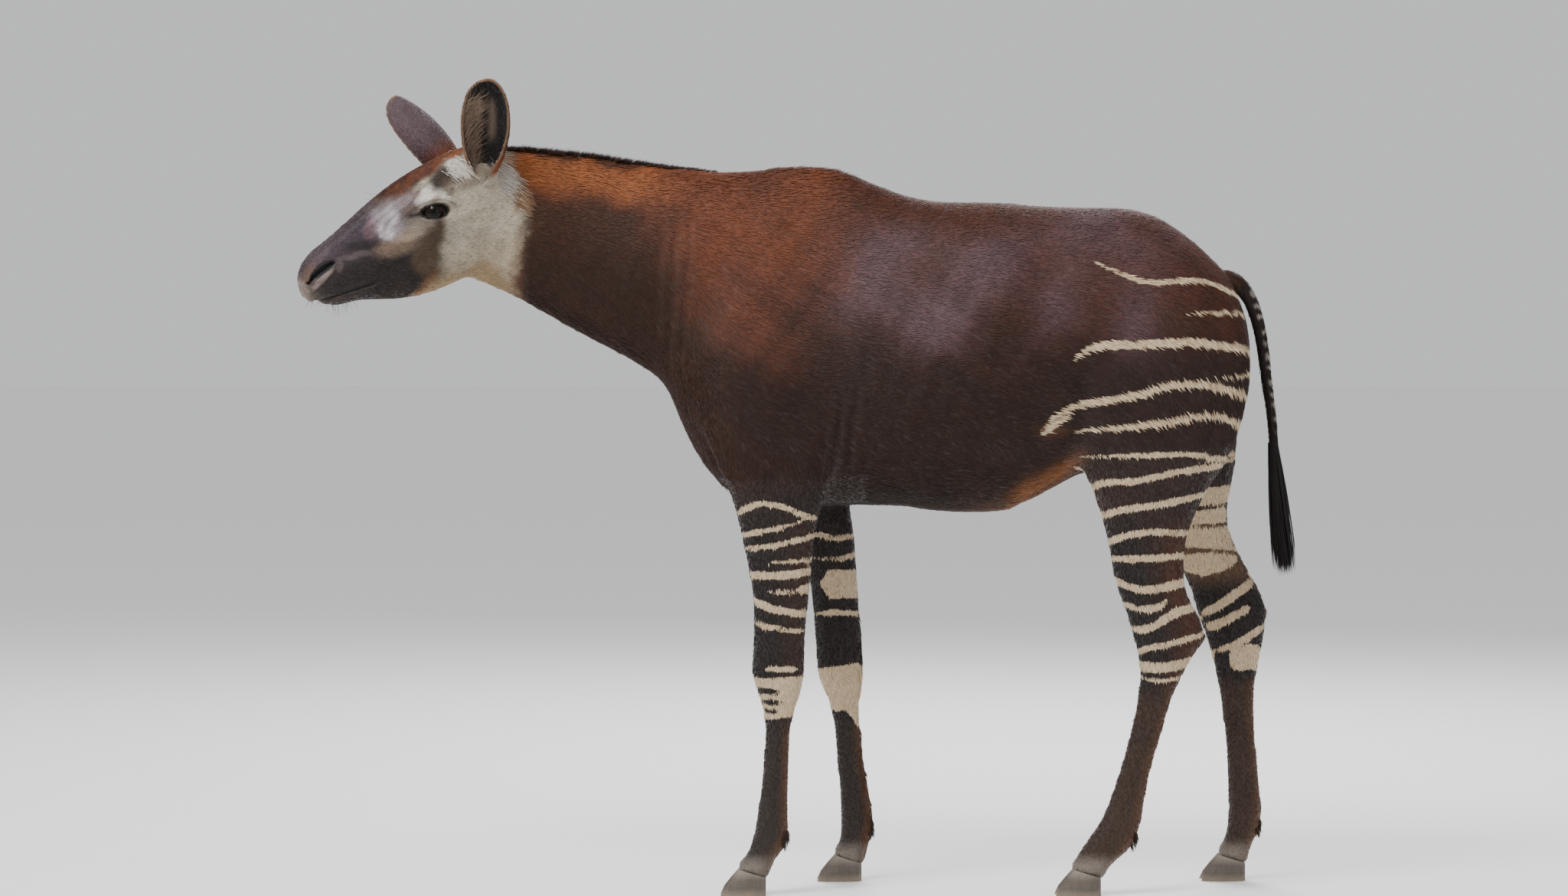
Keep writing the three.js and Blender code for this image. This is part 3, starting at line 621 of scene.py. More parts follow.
HIND_INNER_STRIPES = (
    (75.0, (-0.3, 840), (0.3, 800), (1.2, 790)),
    (30.0, (0.2, 720), (1.2, 735)),
    (22.0, (0.0, 655), (0.5, 668), (1.0, 700)),
    (8.5, (-0.1, 560), (0.18, 560), (0.58, 600), (1.04, 637), (1.2, 650)),
    (8.0, (-0.1, 523), (-0.04, 525), (0.37, 541), (0.72, 568), (0.8, 574)),
    (7.5, (-0.1, 478), (0.44, 493), (0.84, 520), (1.1, 535)),
    (26.0, (0.35, 462), (0.7, 470), (1.1, 465)),
)
FORE_STRIPES = (
    (5.5, (-0.1, 768), (0, 777), (0.2, 796), (0.37, 803), (0.61, 791), (0.85, 772), (1.1, 765)),
    (5.0, (0.85, 772), (0.63, 755), (0.44, 749), (0.19, 740), (0.01, 736), (-0.1, 734)),
    (5.5, (-0.1, 705), (-0.02, 707), (0.32, 712), (0.64, 721), (0.95, 733), (1.1, 738)),
    (4.5, (0.35, 679), (0.63, 684), (0.97, 687), (1.1, 689)),
    (8.0, (-0.1, 654), (0, 654), (0.63, 654), (0.98, 663), (1.1, 667)),
    (5.0, (0.25, 623), (0.5, 620), (0.76, 621)),
    (10.0, (0.76, 621), (1.01, 628), (1.1, 630)),
    (7.5, (-0.1, 608), (0, 603), (0.23, 590), (0.65, 578), (1.03, 575), (1.1, 574)),
    (5.5, (-0.1, 560), (0.02, 557), (0.3, 547), (0.81, 542), (1.0, 540)),
    (5.5, (0.22, 463), (0.86, 464)),
    (42.0, (-0.3, 400), (0.5, 404), (1.3, 410)),
)
FORE_BARS = (
    (6.5, (-0.5, 423), (0.50, 416)),
    (5.5, (-0.5, 398), (0.56, 393)),
    (4.5, (-0.5, 380), (0.46, 376)),
)
FORE_INNER_STRIPES = (
    (6.0, (0.0, 730), (0.35, 728), (0.63, 717), (0.95, 720), (1.1, 722)),
    (5.0, (0.2, 676), (0.65, 674), (0.95, 682), (1.1, 686)),
    (30.0, (0.25, 622), (1.2, 622)),
    (6.0, (0.1, 557), (0.22, 560), (0.54, 564), (0.95, 560), (1.1, 558)),
    (46.0, (-0.3, 395), (0.5, 406), (1.3, 415)),
    (16.0, (0.75, 370), (1.0, 345), (1.2, 320)),
)
HIND_INNER_BARS = (
    (5.0, (0.0, 704), (0.21, 696), (0.94, 685), (1.2, 682)),
    (6.0, (0.1, 845), (0.5, 838), (1.1, 842)),
    (5.0, (0.1, 786), (0.6, 780), (1.1, 790)),
    (4.5, (0.3, 747), (0.7, 741), (1.2, 750)),
)


def bowed(places):
    """The same line with its corners rounded."""
    for _ in range(2):
        first, last = places[:-1], places[1:]
        cut = np.stack([first * 0.75 + last * 0.25, first * 0.25 + last * 0.75], 1).reshape(-1, 2)
        places = np.vstack([places[:1], cut[1:-1], places[-1:]])
    return places


def inside(along, z, wide, stripes):
    """How far inside the nearest stripe each point is, in metres; less than nothing where it is outside."""
    best = np.full(len(z), -0.08)
    for half, *line in stripes:
        places = bowed(np.array(line) * (1, 0.001))
        half = half * 0.001
        low, high = places[:, 1].min() - half - 0.03, places[:, 1].max() + half + 0.03
        near = np.flatnonzero((z > low) & (z < high))
        if not len(near):
            continue
        x, y = along[near] * wide[near], z[near]
        gap = np.full(len(near), 9.0)
        steps = len(places) - 1
        for i, ((f0, z0), (f1, z1)) in enumerate(zip(places[:-1], places[1:])):
            ax, bx = f0 * wide[near], f1 * wide[near]
            run, climb = bx - ax, z1 - z0
            share = np.clip(((x - ax) * run + (y - z0) * climb) / (run ** 2 + climb ** 2 + 1e-9), 0, 1)
            begun = 7 * min(1, half / 0.012) * (i + share) / steps
            thin = half * (1 - 0.75 * np.clip(1 - begun, 0, 1) ** 1.5)
            thin *= 1 - 0.75 * np.clip(1 - 7 * (steps - i - share) / steps, 0, 1) ** 1.5
            gap = np.minimum(gap, np.hypot(x - ax - run * share, y - z0 - climb * share) - thin)
        best[near] = np.maximum(best[near], -gap)
    return best


def stripes_at(points, normals):
    """The cream marks of the legs and haunches: how far inside one each point is."""
    unsteady = ((0.031 / 3, 1), (0.05, 2), (0.026 / 3, 3))
    waver = points + np.stack([wander(points, size, seed) for size, seed in unsteady], 1) * 0.0013
    x, y, z = points.T
    best = np.full(len(points), -0.08)
    tail = (abs(y) < 0.032) & (x > np.interp(z, (0.88, 1.0, 1.15, 1.22), (0.962, 0.945, 0.925, 0.905)))
    for pair, outer, inner, bars, inner_bars in (
        ("hind", HIND_STRIPES, HIND_INNER_STRIPES, (), HIND_INNER_BARS),
        ("fore", FORE_STRIPES, FORE_INNER_STRIPES, FORE_BARS, ()),
    ):
        here = (x > 0.35) if pair == "hind" else (x <= 0.35)
        here &= (z < (1.35 if pair == "hind" else 0.86)) & (z > 0.3) & ~tail
        pick = np.flatnonzero(here)
        along, wide, out = on_leg(waver[pick], pair)
        if pair == "hind":
            along = np.where(z[pick] > 1.085, (waver[pick, 0] - 0.548) / 0.388, along)
        # the far side is marked alike but never the same
        along = np.where(y[pick] > 0, along + 0.05 * np.sin(z[pick] * 37), along)
        shifted = waver[pick, 2] + 0.006 * np.sin(along * 5 + z[pick] * 21)
        high = np.where(y[pick] > 0, shifted, waver[pick, 2])
        outside = inside(along, high, wide, outer)
        if bars:
            outside = np.minimum(outside, -inside(along, high, wide, bars))
        inward = inside(along, waver[pick, 2], wide, inner)
        if inner_bars:
            inward = np.minimum(inward, -inside(along, waver[pick, 2], wide, inner_bars))
        side = ramp(out, -0.35, 0.15)
        if pair == "hind":
            side = np.maximum(side, ramp(z[pick], 0.80, 0.86) * ramp(normals[pick, 0], 0.1, 0.4))
            side = np.where(z[pick] > 1.0, 1.0, side)
        best[pick] = inward * (1 - side) + outside * side
    return best


# The marks of the face: place forward and up, reach forward and up, tilt, colour and strength
FACE_MARKS = (
    ((0.300, 0.000), (0.165, 0.090), 0, MUZZLE, 1.0),
    ((0.200, 0.084), (0.066, 0.036), 12, "6f5c58", 1.0),
    ((0.245, -0.070), (0.092, 0.060), 0, BLACK_BROWN, 1.0),
    ((0.292, -0.098), (0.072, 0.030), 0, "2a1f1b", 1.0),
    ((0.330, -0.035), (0.085, 0.045), 0, BLACK_BROWN, 0.8),
    ((0.152, 0.000), (0.024, 0.040), 25, OLIVE, 1.0),
    ((0.182, -0.045), (0.030, 0.034), 20, OLIVE, 1.0),
    ((0.228, 0.004), (0.046, 0.022), 5, "7c6857", 0.9),
    ((0.196, 0.018), (0.042, 0.015), 5, "978575", 0.8),
    ((0.168, 0.030), (0.030, 0.014), 10, "8f8276", 0.6),
    ((0.285, 0.066), (0.060, 0.034), -12, "443840", 0.9),
    ((0.350, 0.056), (0.060, 0.026), -16, "463840", 0.8),
    # a silvery painted highlight on the side of the nose before the eye, with darker edges
    ((0.230, 0.052), (0.032, 0.032), 30, "a1959c", 1.0),
    ((0.214, 0.066), (0.014, 0.024), 35, SILVER_HIGHLIGHT, 0.9),
    ((0.238, 0.036), (0.018, 0.014), 30, SILVER_HIGHLIGHT, 1.0),
    ((0.230, 0.056), (0.006, 0.022), 35, "8f8087", 0.5),
    ((0.263, 0.052), (0.014, 0.026), 30, "7c5f66", 0.6),
    ((0.292, 0.030), (0.034, 0.011), 15, BLACK, 0.6),
    ((0.300, 0.014), (0.022, 0.006), 18, "5f5355", 0.6),
    ((0.190, 0.078), (0.030, 0.012), -10, "96898a", 0.7),
    ((0.131, 0.079), (0.033, 0.0125), -24, WHITE, 1.0),
    ((0.108, 0.060), (0.010, 0.013), -40, WHITE, 0.9),
    ((0.094, 0.097), (0.034, 0.018), -24, "3b2f26", 1.0),
    ((0.092, 0.074), (0.012, 0.018), 10, "5f5144", 0.7),
    ((0.066, 0.086), (0.022, 0.013), -10, "5b4d43", 0.8),
    ((0.030, 0.072), (0.045, 0.018), -8, "6b5e50", 0.75),
    ((0.052, 0.112), (0.020, 0.018), 10, WHITE, 1.0),
    ((-0.030, 0.056), (0.015, 0.028), 15, "cfc8bd", 0.9),
    ((-0.045, 0.010), (0.012, 0.040), 25, "8f6c4e", 0.8),
    ((0.392, 0.044), (0.038, 0.018), -28, "5c4850", 0.6),
    ((0.420, 0.018), (0.024, 0.024), 0, "6a5244", 0.8),
    ((0.438, -0.010), (0.012, 0.028), 0, "8e7c74", 0.9),
    ((0.396, -0.004), (0.034, 0.0060), -22, "93827b", 1.0),
    ((0.352, 0.010), (0.008, 0.014), 10, "6f6260", 0.5),
    ((0.330, 0.018), (0.024, 0.006), 20, "6e6062", 0.5),
    ((0.400, -0.052), (0.040, 0.008), 0, "5d463a", 0.7),
    ((0.390, -0.075), (0.045, 0.010), 0, "3d2c25", 0.8),
    ((0.150, -0.112), (0.080, 0.010), 4, "a58c6c", 0.9),
    ((0.190, -0.092), (0.034, 0.012), -30, "6f4526", 0.6),
)


def face_mark(u, w, mark):
    (cu, cw), (ru, rw), tilt, colour, strength = mark
    turn = math.radians(tilt)
    a = ((u - cu) * math.cos(turn) + (w - cw) * math.sin(turn)) / ru
    b = ((w - cw) * math.cos(turn) - (u - cu) * math.sin(turn)) / rw
    return strength * fade(np.hypot(a, b), 0.55, 1.38)


def coat_at(points, normals):
    """The coat's colour over the body, and how far inside a cream stripe each point is."""
    x, y, z = points.T
    blotch = wander(points, 0.055, 4)
    band = stripes_at(points, normals)
    colour = np.tile(hue(CHESTNUT), (len(points), 1))
    ragged = z + 0.030 * blotch + 0.012 * wander(points, 0.018, 14)
    # Darker from the back down to the belly: partly the coat's own darker lower tone, partly painted shade
    # under the lit back
    lay(colour, fade(ragged, 1.02, 1.30), DARK_CHESTNUT)
    # Plum-grey painted sheen on the upper flank, over the hip and down the rump: a painted reflection of
    # light on the glossy coat
    sheen_bloom = ramp(ragged, 1.08, 1.21) * fade(z, 1.30, 1.40) * ramp(x, -0.02, 0.16) * fade(x, 0.50, 0.62)
    lay(colour, (0.55 + 0.35 * blotch).clip(0, 0.85) * sheen_bloom, PLUM_SHEEN)
    haunch = swell(points, (0.66, 0.0, 1.36), (0.17, 0.4, 0.10))
    haunch += swell(points, (0.68, -0.2, 1.16), (0.05, 0.2, 0.09))
    lay(colour, 0.75 * haunch * (0.7 + 0.4 * blotch).clip(0, 1), PLUM_SHEEN)
    lay(colour, 0.85 * ramp(ragged, 1.16, 1.36) * fade(x, 0.0, 0.16) * (0.85 + 0.3 * blotch), AUBURN)
    edge = x + 0.25 * (z - 1.2) + 0.02 * wander(points, 0.03, 17)
    shoulder = ramp(edge, -0.32, -0.17) * fade(x, -0.10, 0.06) * ramp(ragged, 1.02, 1.20)
    lay(colour, 0.55 * shoulder * (0.75 + 0.5 * blotch).clip(0, 1), "6c3a24")
    neck = fade(edge, -0.33, -0.13)
    deep = nape_height(x) - z + 0.008 * wander(points, 0.02, 15)
    lay(colour, neck * ramp(deep, 0.06, 0.13), "3c2213")
    lay(colour, neck * ramp(deep, 0.13, 0.26), "301b10")
    lay(colour, neck * fade(deep, 0.05, 0.11), BRIGHT_AUBURN)
    lay(colour, neck * fade(deep, 0.014, 0.028) * 0.8, "2a1a14")
    lay(colour, fade(abs(y), 0.005, 0.035) * ramp(z, 1.33, 1.37) * ramp(x, -0.2, 0.0) * 0.5, "3a2a26")
    lay(colour, fade(z, 0.80, 0.86) * 0.6, BLACK_BROWN)
    lay(colour, ramp(x, 0.5, 0.6) * fade(z, 1.02, 1.16), "2b1a14")
    lay(colour, ramp(x, 0.84, 0.92) * 0.5 * fade(abs(y), 0.05, 0.12), BLACK_BROWN)

    # underside: paler and thinly haired in the groin
    lay(colour, 0.6 * swell(points, (0.50, 0.0, 0.79), (0.13, 0.12, 0.05)), "7d5a44")
    fold = bell(z - 0.800 - 0.56 * (x - 0.42), 0, 0.022) * ramp(x, 0.40, 0.46) * fade(x, 0.55, 0.60)
    lay(colour, 0.75 * fold * (normals[:, 2] < 0.5), "8a5732")
    lay(colour, 0.40 * swell(mirrored(points), (0.515, 0.19, 0.950), (0.030, 0.06, 0.013)), "7c4d30")

    # legs
    low = fade(z, 0.72, 0.80)
    lay(colour, low, BLACK_BROWN)
    for pair in ("hind", "fore"):
        along, wide, out = on_leg(points, pair)
        here = of_pair(x, pair) * low
        shank = fade(z, 0.40, 0.44) if pair == "hind" else fade(z, 0.32, 0.36)
        lay(colour, here * shank, "2b201a" if pair == "fore" else "38261b")
        lay(colour, here * shank * ramp(along, 0.60, 1.0) * 0.8, LEG_BROWN)
        lay(colour, here * fade(z, 0.060, 0.092) * 0.75 * (1 - 0.5 * ramp(along, 0.5, 0.9)), "8d8378")
        rear = here * (1 - shank) * ramp(along, 0.30, 0.95) * ramp(out, -0.2, 0.3)
        lay(colour, rear * (0.75 if pair == "hind" else 0.35), "4c2815")
        if pair == "hind":
            inner = here * fade(out, -0.3, 0.1) * ramp(z, 0.60, 0.66)
            lay(colour, inner * 0.6, "7a5b43")

    # throat and face
    q = in_head(points)
    u, v, w = q[:, 0], abs(q[:, 1]), q[:, 2]
    behind = np.interp(w, (-0.17, -0.10, -0.03, 0.06), (0.035, 0.000, -0.040, -0.058))
    behind = behind + 0.007 * wander(points, 0.014, 16) + 0.004 * wander(points, 0.005, 19)
    head = ramp(u - behind, -0.024, 0.026) * fade(x, -0.56, -0.50)
    throat = fade(x, -0.59, -0.548) * fade(z, 1.32, 1.40)
    lay(colour, 0.75 * throat, "6e452b")
    lay(colour, fade(x, -0.615, -0.575) * fade(z, 1.32, 1.39), THROAT)
    face = np.tile(hue(CHEEK), (len(points), 1))
    lay(face, fade(w, -0.09, -0.03) * 0.5, "a8977c")
    lay(face, ramp(wander(points, 0.0045, 9), 0.62, 0.9) * 0.35, "6b5a48")
    uneven_u = u + 0.002 * wander(points, 0.008, 5)
    uneven_w = w + 0.002 * wander(points, 0.007, 6)
    for mark in FACE_MARKS:
        lay(face, face_mark(uneven_u, uneven_w, mark), mark[3])
    brow = np.interp(u, (0.02, 0.06, 0.11, 0.15, 0.19, 0.25), (0.126, 0.122, 0.106, 0.103, 0.098, 0.101))
    crown = ramp(w - brow - 0.005 * wander(points, 0.02, 7), -0.008, 0.008) * fade(u, 0.235, 0.275)
    lay(face, crown, "5f321b")
    lay(face, crown * ramp(wander(points * (1, 1, 1.6), 0.006, 12), 0.0, 0.8) * 0.6, "38201a")
    lay(face, crown * fade(u, 0.03, 0.11) * 0.7, BRIGHT_AUBURN)
    lay(face, fade(v, 0.010, 0.030) * ramp(u, 0.20, 0.26) * ramp(w, 0.0, 0.03), "4a3c40")
    lay(face, crown * fade(v, 0.01, 0.03) * 0.35, BLACK_BROWN)
    under_jaw = fade(v, 0.03, 0.05) * fade(w, -0.09, -0.06)
    lay(face, under_jaw * ramp(u, 0.0, 0.05) * fade(u, 0.16, 0.22), "9a8364")
    lay(face, ramp(u, 0.29, 0.33) * fade(w, -0.06, -0.04) * 0.9, "2a201d")
    grained = wander(np.stack([3.2 * (w + 0.45 * u), 0.6 * v, 0.5 * u], 1), 0.010, 18)
    face = face * (1 - 0.30 * ramp(grained, -0.1, 0.7) * ramp(u, 0.11, 0.16) * ramp(w, 0.02, 0.05))[:, None]
    # Painted shade: black in the hollows of the nostrils and along the groove of the mouth
    lay(face, fade(nostril_reach(q), 0.95, 1.25), BLACK)
    lip, past = off_line(u, w, MOUTH)
    lay(face, 0.85 * np.exp(-((lip / 0.0028) ** 2) - (past / 0.006) ** 2), BLACK)
    along, across = lid_axes(q)
    reach = lid_reach(mirrored(q))
    lay(face, fade(reach, 1.10, 1.30) * (v > 0.035), BLACK)
    tear = bell(across, -0.001, 0.0045) * ramp(along, 0.020, 0.026) * fade(along, 0.046, 0.062)
    lay(face, 0.9 * tear * (v > 0.035), BLACK)
    # a darker line in the fold over each upper lid: painted shade in the crease
    lay(face, 0.55 * bell(reach, 1.62, 0.13) * (across > 0.004) * (v > 0.035), "3a302e")
    lay(colour, head, face)

    # ears
    for name, ear in EARS.items():
        t, side, off, outward = on_ear(points, normals, ear)
        shell = of_ear(points, normals, ear) * ramp(t, 0.06, 0.16)
        # The right ear's back carries a plum-grey painted sheen; the left ear's back keeps a dark brown
        back = "3a2620" if name == "left" else "5d4b50"
        wall = np.tile(hue(back), (len(points), 1))
        lay(wall, fade(t + 0.08 * blotch, 0.22, 0.50), AUBURN)
        cup = np.tile(hue("171210"), (len(points), 1))
        front = -side if name == "left" else side
        lay(cup, ramp(front, 0.38, 0.85) * (0.70 + 0.5 * blotch) * fade(t, 0.72, 0.92), "7c6656")
        lay(cup, 0.75 * bell(front, 0.02, 0.13) * fade(t, 0.7, 0.85) * ramp(t, 0.3, 0.45), "7d6a5c")
        lay(wall, outward < 0, cup)
        lay(wall, ramp(abs(side), 0.955, 0.99) * 0.9, "83644c")
        lay(wall, ramp(t, 0.970, 0.990) * 0.9, "83644c")
        lay(colour, shell, wall)

    # tail
    rump_end = np.interp(z, (0.88, 1.0, 1.15, 1.22), (0.965, 0.955, 0.935, 0.91))
    dock = (x > 0.90) & (x > rump_end) & (abs(y) < 0.03) & (z > 0.86) & (z < 1.24)
    edge = np.interp(z, (0.885, 0.963, 1.042, 1.155, 1.222), (0.984, 0.979, 0.968, 0.952, 0.928))
    lay(colour, dock, "251b18")
    rings = ramp(np.sin(z * 2 * np.pi / 0.026 + 1.2 * wander(points, 0.01, 8)), 0.1, 0.7)
    lay(colour, dock * rings * ramp(x - edge, 0.000, 0.006) * ramp(z, 0.93, 0.98) * 0.85, "a79c94")
    colour = colour * (1 + 0.10 * wander(points, 0.02, 10) + 0.05 * wander(points, 0.006, 11))[:, None]
    return colour.clip(0.002, 1), band


def give_tint(mesh, colour):
    layer = mesh.attributes.new("tint", "FLOAT_COLOR", "POINT")
    filled = np.column_stack([colour, np.ones(len(colour))])
    layer.data.foreach_set("color", filled.astype(np.float32).ravel())


points = points_of(skin.data)
normals = points_of(skin.data, "normal")
colour, band = coat_at(points, normals)
give_tint(skin.data, colour)
stripe = skin.data.attributes.new("stripe", "FLOAT", "POINT")
stripe.data.foreach_set("value", band.astype(np.float32))


class Shade:
    """A socket of a material. Sums written with it add their nodes."""

    def __init__(self, look, socket):
        self.look, self.socket = look, socket

    def sum(self, operation, a, b):
        return self.look.node("ShaderNodeMath", {"operation": operation}, {0: a, 1: b})

    def __add__(self, other): return self.sum("ADD", self, other)
    def __radd__(self, other): return self.sum("ADD", other, self)
    def __sub__(self, other): return self.sum("SUBTRACT", self, other)
    def __mul__(self, other): return self.sum("MULTIPLY", self, other)
    def __rmul__(self, other): return self.sum("MULTIPLY", other, self)


class Look:
    """A material, made a node at a time."""

    def __init__(self, name, fixed):
        self.material = bpy.data.materials.new(name)
        self.material.use_nodes = True
        self.tree = self.material.node_tree
        self.shader = self.tree.nodes["Principled BSDF"]
        self.feed(self.shader, fixed)

    def feed(self, node, values):
        for key, value in values.items():
            if isinstance(value, Shade):
                self.tree.links.new(value.socket, node.inputs[key])
            elif isinstance(value, str):
                node.inputs[key].default_value = (*hue(value), 1)
            else:
                node.inputs[key].default_value = value

    def node(self, kind, settings=None, values=None, out=0):
        node = self.tree.nodes.new(kind)
        for key, value in (settings or {}).items():
            setattr(node, key, value)
        self.feed(node, values or {})
        return Shade(self, node.outputs[out])

    def finish(self, values):
        self.feed(self.shader, values)
        return self.material

    def noise(self, scale, detail, stretch=(1, 1, 1)):
        place = self.node("ShaderNodeTexCoord", out=3)
        place = self.node("ShaderNodeMapping", {}, {"Vector": place, "Scale": stretch})
        return self.node("ShaderNodeTexNoise", {}, {"Vector": place, "Scale": scale, "Detail": detail})

    def mix(self, share, a, b, blend="MIX"):
        settings = {"data_type": "RGBA", "blend_type": blend}
        return self.node("ShaderNodeMix", settings, {0: share, 6: a, 7: b}, out=2)

    def bump(self, height, distance, strength):
        values = {"Height": height, "Distance": distance, "Strength": strength}
        return self.node("ShaderNodeBump", {}, values)


pelt = Look("pelt", {"Specular IOR Level": 0.35, "Sheen Weight": 0.25, "Sheen Roughness": 0.45})
ground = pelt.node("ShaderNodeAttribute", {"attribute_name": "tint"})
marks = pelt.node("ShaderNodeAttribute", {"attribute_name": "stripe"}, out=2)
ragged = pelt.noise(160, 3) - 0.5
edge = pelt.node("ShaderNodeMapRange", {}, {"Value": marks + ragged * 0.004, 1: -0.0012, 2: 0.0012})
cream = pelt.mix(pelt.noise(45, 2), CREAM, DEEP_CREAM)
coloured = pelt.mix(edge, ground, cream)
fur = pelt.noise(520, 3, (1, 1, 0.35))
shaded = pelt.mix(0.55 * fur, coloured, (0.12, 0.09, 0.08, 1), "MULTIPLY")
raised = pelt.bump(fur + 0.4 * pelt.noise(90, 3), 0.0012, 0.7)
coated = pelt.finish({"Base Color": shaded, "Normal": raised, "Roughness": 0.5 + 0.2 * fur})
skin.data.materials.clear()
skin.data.materials.append(coated)
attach(skin, "root")
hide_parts("torso", "neck", "head", "tail", "ear_left", "ear_right", *LEGS)


# The fur itself: fine tapered tufts set all over the skin, a few millimetres across, lying along the coat.
# They are longest on the neck and trunk, and shortest on the face and feet.
chance = np.random.default_rng(11)


def unit(vectors):
    return vectors / np.maximum(np.linalg.norm(vectors, axis=1), 1e-9)[:, None]


def on_tail(points):
    x, y, z = points.T
    front = np.interp(z, (0.88, 1.0, 1.15, 1.26), (0.962, 0.945, 0.925, 0.885))
    return (x > front) & (abs(y) < 0.032) & (z > 0.86)


def lay_at(points, normals):
    """Which way the fur lies: back from the nose, down the legs, and up the ears to their tips."""
    x, y, z = points.T
    q = in_head(points)
    lie = np.tile((1.0, 0.0, -0.30), (len(points), 1))
    lie[:, 2] -= 0.7 * fade(x, -0.25, 0.1) * fade(z, 1.2, 1.42)
    lie[:, 2] -= 1.3 * ramp(x, 0.55, 0.85) * fade(z, 1.0, 1.32)
    down = fade(z, 0.82, 0.98)[:, None]
    lie = lie * (1 - down) + np.array((0.10, 0.0, -1.0)) * down
    belly = (fade(normals[:, 2], -0.7, -0.3) * ramp(z, 0.76, 0.80))[:, None]
    lie = lie * (1 - belly) + np.array((1.0, 0.0, 0.0)) * belly
    side = np.sign(q[:, 1])[:, None]
    back = -HEAD_AXES[:, 0] - 0.45 * HEAD_AXES[:, 2] * fade(q[:, 2], -0.04, 0.06)[:, None]
    back = back + 0.30 * side * HEAD_AXES[:, 1] * ramp(q[:, 2], 0.03, 0.09)[:, None]
    head = (ramp(q[:, 0], -0.05, 0.0) * fade(x, -0.6, -0.55))[:, None]
    lie = lie * (1 - head) + back * head
    for ear in EARS.values():
        lie = np.where(of_ear(points, normals, ear, 0.03)[:, None], ear_axes(ear)[2], lie)
    lie = np.where(on_tail(points)[:, None], (0.12, 0.0, -1.0), lie)
    turn = 0.16 * wander(points, 0.035, 20) + 0.10 * wander(points, 0.012, 21)
    lie = unit(lie - normals * (lie * normals).sum(1)[:, None])
    return unit(lie + np.cross(normals, lie) * turn[:, None])


def flat_place(points, normals):
    """Where each point lies on the skin opened out flat, with a sheet each for trunk, head, legs and ears."""
    x, y, z = points.T
    q = in_head(points)
    middle = np.interp(x, (-0.6, -0.3, -0.1, 0.3, 0.9), (1.36, 1.25, 1.13, 1.09, 1.12))
    place = np.stack([(x + 0.75) / 1.75, 0.5 * (np.arctan2(z - middle, y) / math.pi + 1) * 0.44], 1)
    head = (q[:, 0] > -0.04) & (x < -0.58)
    round_head = np.arctan2(q[:, 1], q[:, 2] - 0.02) / math.pi
    place[head] = np.stack([0.02 + 0.46 * (q[:, 0] + 0.04) / 0.5, 0.45 + 0.13 * (round_head + 1)], 1)[head]
    low = z < 0.80
    for i, (pair, here) in enumerate((("fore", x < 0.35), ("hind", x >= 0.35))):
        along, wide, out = on_leg(points, pair)
        for j, side in enumerate((y < 0, y >= 0)):
            pick = low & here & side
            turn = np.arctan2(out, 2 * along - 1) / math.pi
            left = 0.02 + 0.24 * (2 * i + j)
            place[pick] = np.stack([left + 0.11 * (turn + 1), 0.73 + 0.26 * z / 0.8], 1)[pick]
    for i, ear in enumerate(EARS.values()):
        t, side, off, outward = on_ear(points, normals, ear)
        on = of_ear(points, normals, ear, 0.05)
        left = 0.52 + 0.24 * i + np.where(outward > 0, 0.0, 0.12)
        place[on] = np.stack([left + 0.05 * (side.clip(-1.1, 1.1) + 1.1), 0.45 + 0.24 * t.clip(0, 1)], 1)[on]
    return place


